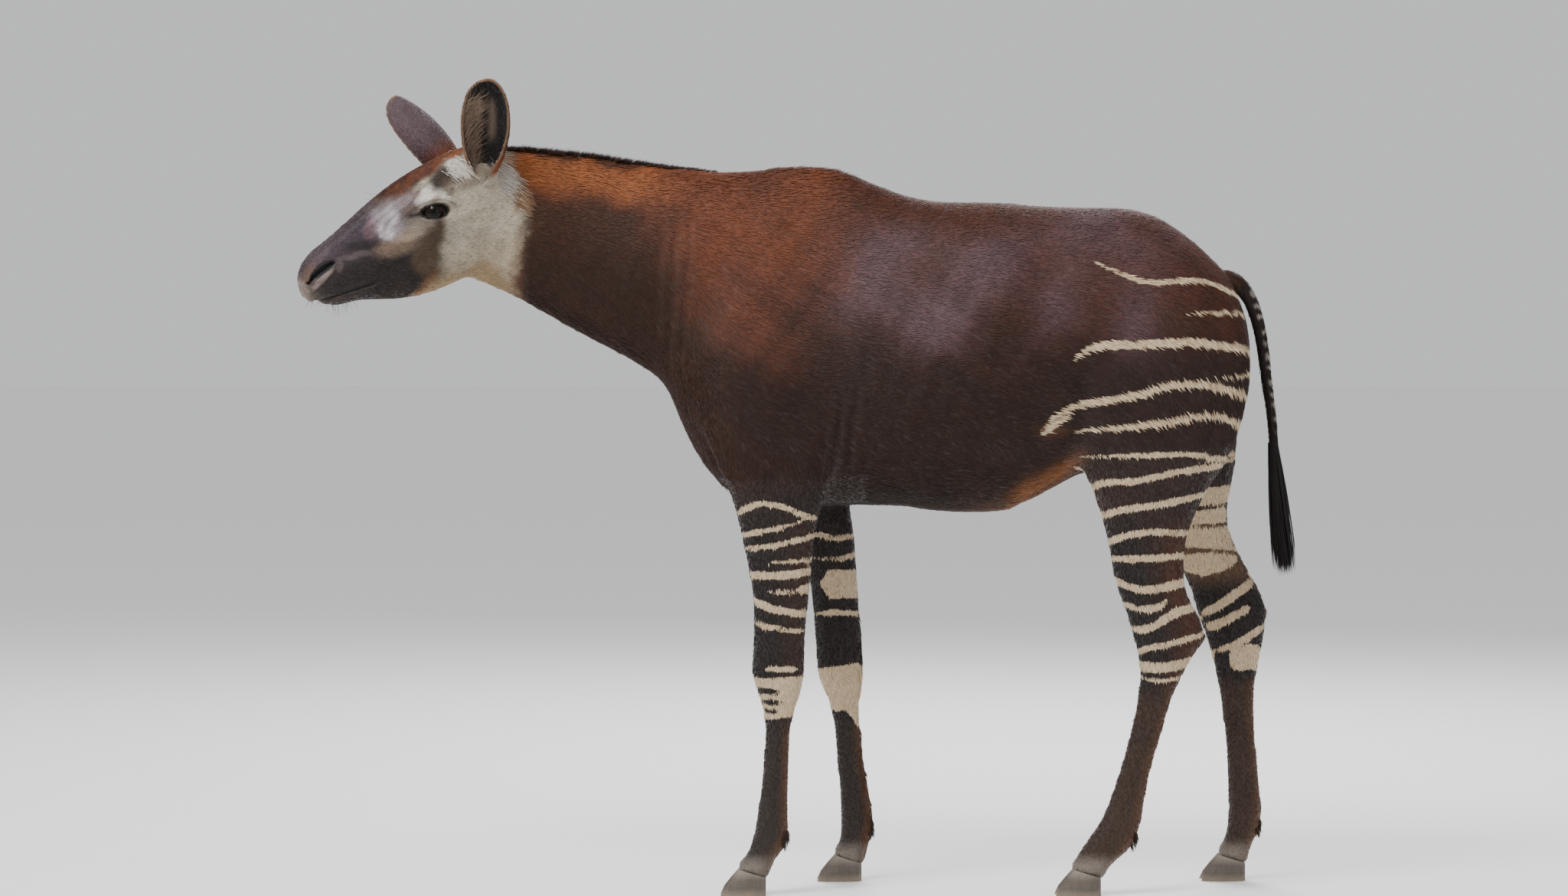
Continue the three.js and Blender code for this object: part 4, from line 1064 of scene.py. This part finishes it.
def hair(
    name, roots, normals, lie, length, width, height, tint,
    place=None, steps=2, sag=0.0, shade=(0.72, 1.0, 1.16),
):
    """Tapered tufts in one piece, each a low roof of hair that bends as it lies.

    Height is that of the middle and the tip, place is where the tufts lie on the skin when it is opened out.
    """
    count = len(roots)
    place = flat_place(roots, normals) if place is None else place
    across = unit(np.cross(normals, lie))
    rows, tones = [], []
    for step in range(steps):
        t = step / steps
        spine = roots + lie * (length * t)[:, None]
        lift = height[0] * math.sin(min(t * 2, 1) * math.pi / 2) + height[1] * t * t
        spine = spine + normals * lift[:, None]
        spine[:, 2] -= sag * length * t * t
        half = (width * 0.5 * (1 - t) ** 0.6)[:, None] * across
        ridge = normals * (width * 0.30)[:, None]
        sunk = normals * (0.0010 if step == 0 else 0.0)
        rows += [spine - half - sunk, spine + ridge * (step > 0 or steps > 2), spine + half - sunk]
        # each tuft's tone from root to tip comes from shade: painted shade darkens the root, and a painted
        # highlight lightens the tip
        tones += [np.interp(t, (0, 0.5, 1), shade)] * 3
    tip = roots + lie * length[:, None] + normals * (height[0] * 0.6 + height[1])[:, None]
    tip[:, 2] -= sag * length
    rows.append(tip)
    tones.append(shade[2])
    each = len(rows)
    corners = np.stack(rows, 1).reshape(-1, 3).clip(*np.array(cad_box))
    slopes = [3 * step + side for step in range(steps) for side in (0, 1)]
    quads = [(i, i + 1, i + 4, i + 3) for i in slopes[:-2]]
    tips = [(i, i + 1, each - 1) for i in slopes[-2:]]
    loops = np.array([i for face in quads + tips for i in face])
    sizes = np.array([4] * len(quads) + [3] * len(tips))
    starts = np.concatenate([[0], np.cumsum(sizes)[:-1]])
    first = np.arange(count)[:, None]
    mesh = bpy.data.meshes.new(name)
    mesh.vertices.add(count * each)
    mesh.vertices.foreach_set("co", corners.astype(np.float32).ravel())
    mesh.loops.add(count * len(loops))
    corner = (first * each + loops).ravel()
    mesh.loops.foreach_set("vertex_index", corner.astype(np.int32))
    mesh.polygons.add(count * len(sizes))
    mesh.polygons.foreach_set("loop_start", (first * len(loops) + starts).ravel().astype(np.int32))
    mesh.polygons.foreach_set("use_smooth", np.ones(count * len(sizes), bool))
    mesh.update(calc_edges=True)
    shades = (tint[:, None, :] * np.array(tones)[None, :, None]).clip(0, 1).reshape(-1, 3)
    give_tint(mesh, shades)
    spot = np.stack([np.tile((-1.0, 0.0, 1.0), steps), np.repeat(np.linspace(-1, 0.6, steps), 3)], 1)
    spot = np.vstack([spot, (0, 1)]) * 0.0015
    sheet = mesh.uv_layers.new(name="OFBake")
    flat = (place[:, None, :] + spot[None]).reshape(-1, 2)[corner]
    sheet.uv.foreach_set("vector", flat.astype(np.float32).ravel())
    piece = bpy.data.objects.new(name, mesh)
    scene.collection.objects.link(piece)
    piece.data.materials.append(hairy)
    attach(piece, "root")
    return piece


strand = Look("hair", {"Specular IOR Level": 0.22, "Sheen Weight": 0.06, "Sheen Roughness": 0.4})
ground = strand.node("ShaderNodeAttribute", {"attribute_name": "tint"})
streak = strand.noise(700, 2, (1, 1, 0.3))
toned = strand.mix(0.35 * streak, ground, (0.25, 0.20, 0.18, 1), "MULTIPLY")
hairy = strand.finish({"Base Color": toned, "Roughness": 0.42 + 0.25 * streak})

skin.data.calc_loop_triangles()
triangles = np.empty(len(skin.data.loop_triangles) * 3, np.int32)
skin.data.loop_triangles.foreach_get("vertices", triangles)
triangles = triangles.reshape(-1, 3)
at = points_of(skin.data)
facing = points_of(skin.data, "normal")
crossed = np.cross(at[triangles[:, 1]] - at[triangles[:, 0]], at[triangles[:, 2]] - at[triangles[:, 0]])
area = np.linalg.norm(crossed, axis=1) / 2
centre = at[triangles].mean(1)
face_normal = facing[triangles].mean(1)

MOST_TUFTS = 32000
# region, the skin's share for one tuft in square mm, length, width, lift of the middle and of the tip in mm
FUR = (
    ("face", 6.6, 7.5, 1.9, 0.30, 0.45),
    ("ears", 6.2, 7.0, 1.7, 0.35, 0.80),
    ("neck", 13.0, 17.0, 2.9, 0.60, 1.50),
    ("shoulder", 18.5, 18.0, 3.1, 0.55, 1.30),
    ("barrel", 19.0, 18.0, 3.1, 0.50, 1.10),
    ("rump", 17.5, 17.0, 3.0, 0.50, 1.10),
    ("fore_legs", 14.5, 7.0, 2.2, 0.40, 0.70),
    ("hind_legs", 15.5, 7.5, 2.3, 0.40, 0.70),
    ("tail", 8.0, 12.0, 2.2, 0.50, 1.50),
)
cx, cy, cz = centre.T
in_face = mirrored(in_head(centre))
region = np.full(len(centre), "shoulder", "U9")
region[cx >= 0.10] = "barrel"
region[cx > 0.52] = "rump"
region[cx < -0.27] = "neck"
region[(cz < 0.86) & (cx < 0.13) & (abs(cy) > 0.02)] = "fore_legs"
region[(cz < 0.92) & (cx > 0.53)] = "hind_legs"
region[(in_face[:, 0] > -0.03) & (cx < -0.56)] = "face"
for ear in EARS.values():
    region[of_ear(centre, face_normal, ear, 0.10)] = "ears"
region[on_tail(centre)] = "tail"

# the eyes, the nostrils and the line of the mouth stay bare
lip, lip_past = off_line(in_face[:, 0], in_face[:, 2], MOUTH)
bare = (abs(lip) < 0.0025) & (lip_past < 0.004) | (nostril_reach(in_face) < 1.15)
bare &= region == "face"
bare |= (lid_reach(in_face) < 1.12) & (in_face[:, 1] > 0.035)


def scattered(here, share, reach=1.0):
    """Places scattered over the chosen triangles, one to each share of area, and which way the skin faces."""
    wanted = np.where(here, area / share, 0)
    count = np.floor(wanted + chance.random(len(wanted))).astype(int)
    pick = np.repeat(np.arange(len(area)), count)
    a, b = chance.random((2, len(pick))) * reach
    over = a + b > 1
    a[over], b[over] = 1 - a[over], 1 - b[over]
    corner = triangles[pick]
    weights = np.stack([1 - a - b, a, b], 1)[:, :, None]
    return (at[corner] * weights).sum(1), unit((facing[corner] * weights).sum(1))


def varied(count, share, low, high):
    """Factors about 1 that differ by chance."""
    return (1 + share * chance.normal(size=count)).clip(low, high)


for name, share, long, broad, middle_lift, tip_lift in FUR:
    roots, normals = scattered((region == name) & ~bare, share * 1e-6)
    lie = lay_at(roots, normals)
    vary = chance.normal(size=(4, len(roots)))
    lie = unit(lie + np.cross(normals, lie) * (0.10 * vary[0])[:, None])
    length = long * 0.001 * (1 + 0.22 * vary[1]).clip(0.5, 1.6)
    if name == "ears":
        for ear in EARS.values():
            t = on_ear(roots, normals, ear)[0]
            near_tip = of_ear(roots, normals, ear) & (t > 0.7)
            left_over = 0.003 + (1.0 - t).clip(0) * EAR_LENGTH * 0.4
            length = np.where(near_tip, np.minimum(length, left_over), length)
    if name == "face":
        nose = ramp(in_head(roots)[:, 0], 0.20, 0.36)
        length = length * (1 - 0.45 * nose)
    if name in ("neck", "shoulder"):
        nape = nape_height(roots[:, 0])
        length = length * (1 + 0.5 * ramp(roots[:, 2], nape - 0.10, nape - 0.03))
    length = length * (1 - 0.35 * fade(roots[:, 2], 0.15, 0.45))
    width = broad * 0.001 * (1 + 0.18 * vary[2]).clip(0.5, 1.5)
    colour, band = coat_at(roots + lie * (length * 0.4)[:, None], normals)
    cream = np.where((chance.random(len(roots)) < 0.3)[:, None], hue(DEEP_CREAM), hue(CREAM))
    colour = np.where((band + 0.0009 * vary[3] > 0)[:, None], cream, colour)
    colour = colour * (1 + 0.16 * chance.normal(size=len(roots)))[:, None].clip(0.6, 1.5)
    lift = length / (long * 0.001)
    height = (lift * middle_lift * 0.001, lift * tip_lift * 0.001 * (1 + 0.5 * abs(vary[0])))
    parts = math.ceil(len(roots) / MOST_TUFTS)
    for part, some in enumerate(np.array_split(np.argsort(roots[:, 1], kind="stable"), parts)):
        piece = hair(
            f"fur_{name}_{part + 1}", roots[some], normals[some], lie[some], length[some], width[some],
            (height[0][some], height[1][some]), colour[some],
        )


# The mane: a short, dark, bristly crest along the nape, from between the ears to the front of the withers.
# It grows from a narrow strip of the skin and leans back, more so towards the withers.
CREST_HALF = 0.009
crest_line = []
top = at[(at[:, 2] > 1.40) & (at[:, 2] < 1.52) & (abs(at[:, 1]) < 0.07)]
for low in np.arange(-0.64, -0.12, 0.02):
    strip = top[(top[:, 0] > low) & (top[:, 0] < low + 0.02)]
    crest_line.append((low + 0.01, strip[strip[:, 2].argmax(), 1]))


def off_crest(points):
    """How far to the side of the crest each point is, as a share of half its width."""
    return (points[:, 1] - np.interp(points[:, 0], *np.array(crest_line).T)) / CREST_HALF


crest = (cx > -0.645) & (cx < -0.17) & (cz < 1.52) & (abs(off_crest(centre)) < 1)
crest &= (face_normal[:, 2] > 0.55) & (region != "ears")
roots, normals = scattered(crest, 1.3e-6, 0.5)
aside = off_crest(roots)
back = ramp(roots[:, 0], -0.40, -0.17)
sway, steep = chance.normal(size=(2, len(roots)))
lie = unit(np.stack([0.75 + 0.12 * steep, 0.30 * aside + 0.20 * sway, 0.72 - 0.42 * back - 0.12 * steep], 1))
length = (0.0165 - 0.0060 * back) * (0.35 + 0.65 * ramp(roots[:, 0], -0.645, -0.56))
length = length * varied(len(roots), 0.18, 0.5, 1.5)
dark = np.tile(hue("1b1210"), (len(roots), 1))
lay(dark, ramp(abs(aside), 0.6, 1.0) * 0.5 + 0.2 * back, "5a2d18")
dark = dark * varied(len(roots), 0.25, 0.4, 1.8)[:, None]
mane = hair(
    "mane", roots, normals, lie, length, np.full(len(roots), 0.0014),
    (length * 0.06, length * -0.04), dark, steps=3,
)


def on_skin(places, left):
    """The points of the skin nearest to places given in the head's own axes, and which way it faces there."""
    own = in_head(at)
    sided = np.flatnonzero((own[:, 1] > 0.004) == left)
    found = [sided[((own[sided][:, (0, 2)] - place) ** 2).sum(1).argmin()] for place in places]
    return at[found], facing[found]


# Longer hair about the head: white locks before and behind the ears, pale hair inside their cups,
# lashes on the upper lids, and stiff whiskers on the lips, the chin and over the eyes.
LOCKS = (
    # name, place forward and up, scatter, count, length, width, way: forward, outward, up; colour
    ("before_ear", (0.050, 0.106), (0.012, 0.009), 260, 0.020, 0.0012, (-0.35, 0.3, -0.9), WHITE),
    ("behind_ear", (-0.034, 0.050), (0.009, 0.018), 520, 0.024, 0.0010, (-0.6, 0.2, -0.8), "cfc8bd"),
    ("below_ear", (-0.048, 0.006), (0.007, 0.016), 320, 0.019, 0.0011, (-0.5, 0.1, -0.9), "8f6c4e"),
)
WHISKERS = (
    ((0.415, -0.022), (0.012, 0.016), 16, 0.030, (0.25, 0.9, -0.35)),
    ((0.385, -0.030), (0.016, 0.012), 14, 0.026, (0.1, 0.9, -0.45)),
    ((0.370, -0.072), (0.022, 0.006), 14, 0.024, (0.2, 0.35, -0.95)),
    ((0.195, 0.098), (0.010, 0.006), 7, 0.034, (0.45, 0.6, 0.55)),
)
for name, where, scatter, number, long, broad, way, colour in LOCKS:
    for left in (True, False):
        roots, normals = on_skin(np.array(where) + chance.normal(size=(number, 2)) * scatter, left)
        side = 1 if left else -1
        roots = roots + 0.002 * chance.normal(size=roots.shape)
        lie = unit(np.array(way) * (1, side, 1) + 0.16 * chance.normal(size=roots.shape)) @ HEAD_AXES.T
        lie = unit(lie - normals * ((lie * normals).sum(1) - 0.10)[:, None])
        length = long * varied(number, 0.2, 0.5, 1.5)
        tone = hue(colour) * (1 + 0.12 * chance.normal(size=(number, 1)))
        locks = hair(
            name + ("_left" if left else "_right"), roots, normals, lie, length, np.full(number, broad),
            (length * 0.12, length * 0.05), tone, steps=3, sag=0.08,
        )

for name, ear in EARS.items():
    number = 620
    t = chance.uniform(0.08, 0.80, number)
    front = -1 if name == "left" else 1
    side = front * chance.uniform(0.40, 0.97, number)
    across, out, up = ear_axes(ear)
    wrap, reach, centre = ear_sizes(t)
    turn = side * wrap
    radial = across * np.sin(turn)[:, None] - out * np.cos(turn)[:, None]
    roots = np.array(ear["root"]) + up * (t * EAR_LENGTH)[:, None] + out * centre[:, None]
    roots = roots + radial * (reach - 0.004)[:, None]
    normals = -radial
    lie = unit(-front * across * 0.75 + up * 0.55 + out * 0.05 + 0.14 * chance.normal(size=(number, 3)))
    lie = unit(lie - normals * ((lie * normals).sum(1) - 0.12)[:, None])
    length = 0.024 * (1 - 0.55 * abs(t - 0.35)) * varied(number, 0.45, 0.3, 1.6)
    tone = hue("8d7766") * (1 + 0.25 * chance.normal(size=(number, 1)))
    inside_hair = hair(
        "ear_hair_" + name, roots, normals, lie, length, np.full(number, 0.0009),
        (length * 0.10, length * 0.02), tone, steps=3,
    )

whisker_parts = []
for where, scatter, number, long, way in WHISKERS:
    for left in (True, False):
        roots, normals = on_skin(np.array(where) + chance.normal(size=(number, 2)) * scatter, left)
        way_out = np.array(way) * (1, 1 if left else -1, 1)
        lie = unit(way_out + 0.2 * chance.normal(size=roots.shape)) @ HEAD_AXES.T
        whisker_parts.append((roots, normals, lie, long * varied(number, 0.25, 0.5, 1.4)))
for left in (True, False):
    number = 54
    turn = np.radians(np.linspace(12, 168, number) + chance.normal(size=number) * 2)
    along, across = LID_LENGTH * 1.04 * np.cos(turn), LID_TOP * 1.06 * np.sin(turn)
    du = along * math.cos(LID_TILT) - across * math.sin(LID_TILT)
    dw = along * math.sin(LID_TILT) + across * math.cos(LID_TILT)
    spot = np.stack([du, np.sqrt((EYE_SIZE + 0.001) ** 2 - du ** 2 - dw ** 2), dw], 1)
    side = 1 if left else -1
    roots = from_head((EYE + spot) * (1, side, 1))
    normals = unit(spot * (1, side, 1)) @ HEAD_AXES.T
    way = np.stack([0.25 + 0.45 * np.cos(turn), 0.85 * np.ones(number), -0.25 + 0.2 * np.sin(turn)], 1)
    lie = unit(way * (1, side, 1) + 0.06 * chance.normal(size=(number, 3))) @ HEAD_AXES.T
    whisker_parts.append((roots, normals, lie, 0.011 * varied(number, 0.2, 0.6, 1.3)))
roots, normals, lie, length = (np.concatenate(part) for part in zip(*whisker_parts))
lashes = hair(
    "lashes_and_whiskers", roots, unit(normals + 0.01), lie, length, np.where(length < 0.016, 0.0007, 0.0006),
    (length * 0.02, length * 0.0), np.tile(hue("1a1412"), (len(roots), 1)), flat_place(roots, normals),
    steps=3, sag=0.12, shade=(1.0, 1.0, 1.6),
)


# The hair behind the fetlocks: a short dark lock at the back of each, hanging over the pastern.
# It grows from the skin where the fetlock turns backwards.
number = 260
for leg, (front_leg, left) in enumerate(((True, True), (True, False), (False, True), (False, False))):
    near = (at[:, 2] > 0.102) & (at[:, 2] < 0.132) & (facing[:, 0] > 0.72)
    near &= ((at[:, 0] < 0.3) == front_leg) & ((at[:, 1] < 0) == left)
    found = chance.choice(np.flatnonzero(near), number)
    roots, normals = at[found] + 0.0016 * chance.normal(size=(number, 3)) * (0.4, 1, 1), facing[found]
    lie = unit(np.array((0.16, 0.0, -0.98)) + 0.08 * chance.normal(size=(number, 3)))
    length = 0.013 * varied(number, 0.25, 0.5, 1.5)
    tone = hue("33251c") * (1 + 0.2 * chance.normal(size=(number, 1)))
    lock = hair(
        f"fetlock_{leg + 1}", roots, normals, lie, length, np.full(number, 0.0015),
        (length * 0.10, length * -0.04), tone, steps=3,
    )


# The tuft of the tail: long, straight, black hair.
# It grows all round the end of the dock and hangs down from it.
dock_end = np.array((0.984, 0.006, 0.885))
number = 520
turn = chance.uniform(0, 2 * math.pi, number)
high = chance.uniform(-0.085, 0.035, number)
ring = np.stack([np.cos(turn), 0.9 * np.sin(turn), np.zeros(number)], 1)
thick = np.interp(high, (-0.085, 0.0, 0.035), (0.005, 0.0085, 0.0095))
roots = dock_end + ring * thick[:, None] + np.outer(high, (-0.09, -0.01, 1.0))
lie = np.array((0.10, 0.01, -0.99)) + ring * chance.uniform(0.0, 0.085, (number, 1))
lie = unit(lie + 0.012 * chance.normal(size=(number, 3)))
length = (0.235 + high * 0.9) * (1 - 0.38 * chance.random(number) ** 2)
tone = hue("120e0d") * (1 + 0.5 * chance.random((number, 1)))
width = 0.0034 * (1 + 0.3 * chance.random(number))
tuft = hair(
    "tuft", roots, ring, lie, length, width, (length * 0.012, length * -0.02), tone,
    np.stack([0.93 + 0.05 * turn / 6.3, 0.6 + high], 1), steps=5, shade=(1.0, 1.0, 1.3),
)
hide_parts("tail_tuft")


# The eyes: large and very dark, with a long level pupil under a wet, clear, slightly bulging cornea.
# Each is a ball that sits in the sunken skin behind its lids.
CORNEA_BULGE = 0.0014
PUPIL_REACH = (0.0105, 0.0062)
wet = Look("eye", {
    "Roughness": 0.16, "Specular IOR Level": 0.05,
    "Coat Weight": 0.45, "Coat Roughness": 0.02, "Coat IOR": 1.35,
})
ring = wet.node("ShaderNodeAttribute", {"attribute_name": "ring"}, out=2)
fleck = wet.noise(420, 3)
iris = wet.mix(fleck, "0d0705", "1e110a")
rim = wet.node("ShaderNodeMapRange", {}, {"Value": ring, 1: 0.9, 2: 1.1})
limbus = wet.node("ShaderNodeMapRange", {}, {"Value": ring, 1: 2.0, 2: 2.5})
pupil = wet.mix(rim, "030202", iris)
eye_finish = wet.finish({"Base Color": wet.mix(limbus, pupil, "120b08")})
for name in ("eye_left", "eye_right"):
    side = 1 if name == "eye_left" else -1
    socket = Vector(from_head(EYE * (1, side, 1)))
    bm = bmesh.new()
    bmesh.ops.create_uvsphere(bm, u_segments=56, v_segments=40, radius=EYE_SIZE)
    looks = Vector(HEAD_AXES @ np.array((0.18, side, 0.0))).normalized()
    up = Vector(HEAD_AXES[:, 2])
    level = up.cross(looks).normalized()
    turned = Matrix((level, looks.cross(level), looks)).transposed().to_4x4()
    for v in bm.verts:
        lean = 1 - v.co.z / EYE_SIZE
        v.co *= 1 + CORNEA_BULGE / EYE_SIZE * math.exp(-((lean / 0.16) ** 2))
    layer = bm.verts.layers.float.new("ring")
    for v in bm.verts:
        v[layer] = math.hypot(v.co.x / PUPIL_REACH[0], v.co.y / PUPIL_REACH[1]) if v.co.z > 0 else 9
    bm.transform(Matrix.Translation(socket) @ turned)
    ball = add_piece(name.replace("eye", "eyeball"), bm)
    ball.data.polygons.foreach_set("use_smooth", np.ones(len(ball.data.polygons), bool))
    ball.data.materials.append(eye_finish)
    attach(ball, "root")
    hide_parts(name)


# The hooves: cloven, grey-brown horn with growth lines round them, worn pale and dusty at the ground.
# They are the frame's own solids, two to a foot, under the end of the skin.
horn = Look("horn", {"Specular IOR Level": 0.4})
place = horn.node("ShaderNodeTexCoord", out=3)
height = horn.node("ShaderNodeSeparateXYZ", {}, {0: place}, out=2)
blur = horn.noise(30, 3)
lines = horn.node("ShaderNodeMath", {"operation": "SINE"}, {0: height * 1500 + blur * 6})
top = horn.node("ShaderNodeMapRange", {}, {"Value": height + blur * 0.006, 1: 0.036, 2: 0.052})
dust = horn.node("ShaderNodeMapRange", {}, {"Value": height + blur * 0.012, 1: 0.022, 2: 0.004})
grain = horn.mix(blur, "352e29", "574d45")
streaks = horn.mix(0.5 * horn.noise(240, 2, (1, 1, 0.12)), grain, "7a7066")
pale = horn.mix(top * 0.6, streaks, "938a7e")
dusty = horn.mix(dust * 0.55, pale, "a3937c")
ridged = horn.bump(lines * 0.5 + horn.noise(300, 2), 0.0008, 0.6)
horn_finish = horn.finish({"Base Color": dusty, "Roughness": 0.45 + 0.25 * blur, "Normal": ridged})
for name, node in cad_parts.items():
    if name.startswith("hoof"):
        node.data.materials.clear()
        node.data.materials.append(horn_finish)


# The floor and the light: a plain pale floor under large soft lamps.
# One stands high on the camera's side, one high on the far side, and a weak one fills the shadows.
bm = bmesh.new()
bmesh.ops.create_grid(bm, x_segments=1, y_segments=1, size=60)
floor = add_piece("floor", bm)
plain = Look("pale floor", {"Base Color": (0.96, 0.955, 0.95, 1), "Roughness": 0.8})
floor.data.materials.append(plain.material)
for name, place, power, size in (
    ("key", (-2.5, -3.4, 5.5), 330, 2.4),
    ("fill", (4.5, -6.0, 2.6), 60, 4.0),
    ("rim", (1.0, 4.0, 4.5), 330, 3.0),
):
    lamp = bpy.data.lights.new(name, "AREA")
    lamp.energy = power
    lamp.size = size
    held = bpy.data.objects.new(name, lamp)
    held.location = place
    held.rotation_euler = (Vector((0, 0, 0.9)) - Vector(place)).to_track_quat("-Z", "Y").to_euler()
    scene.collection.objects.link(held)
world = bpy.data.worlds.new("studio")
world.use_nodes = True
sky = world.node_tree.nodes["Background"].inputs
sky["Color"].default_value = (0.86, 0.87, 0.88, 1)
sky["Strength"].default_value = 0.80
scene.world = world
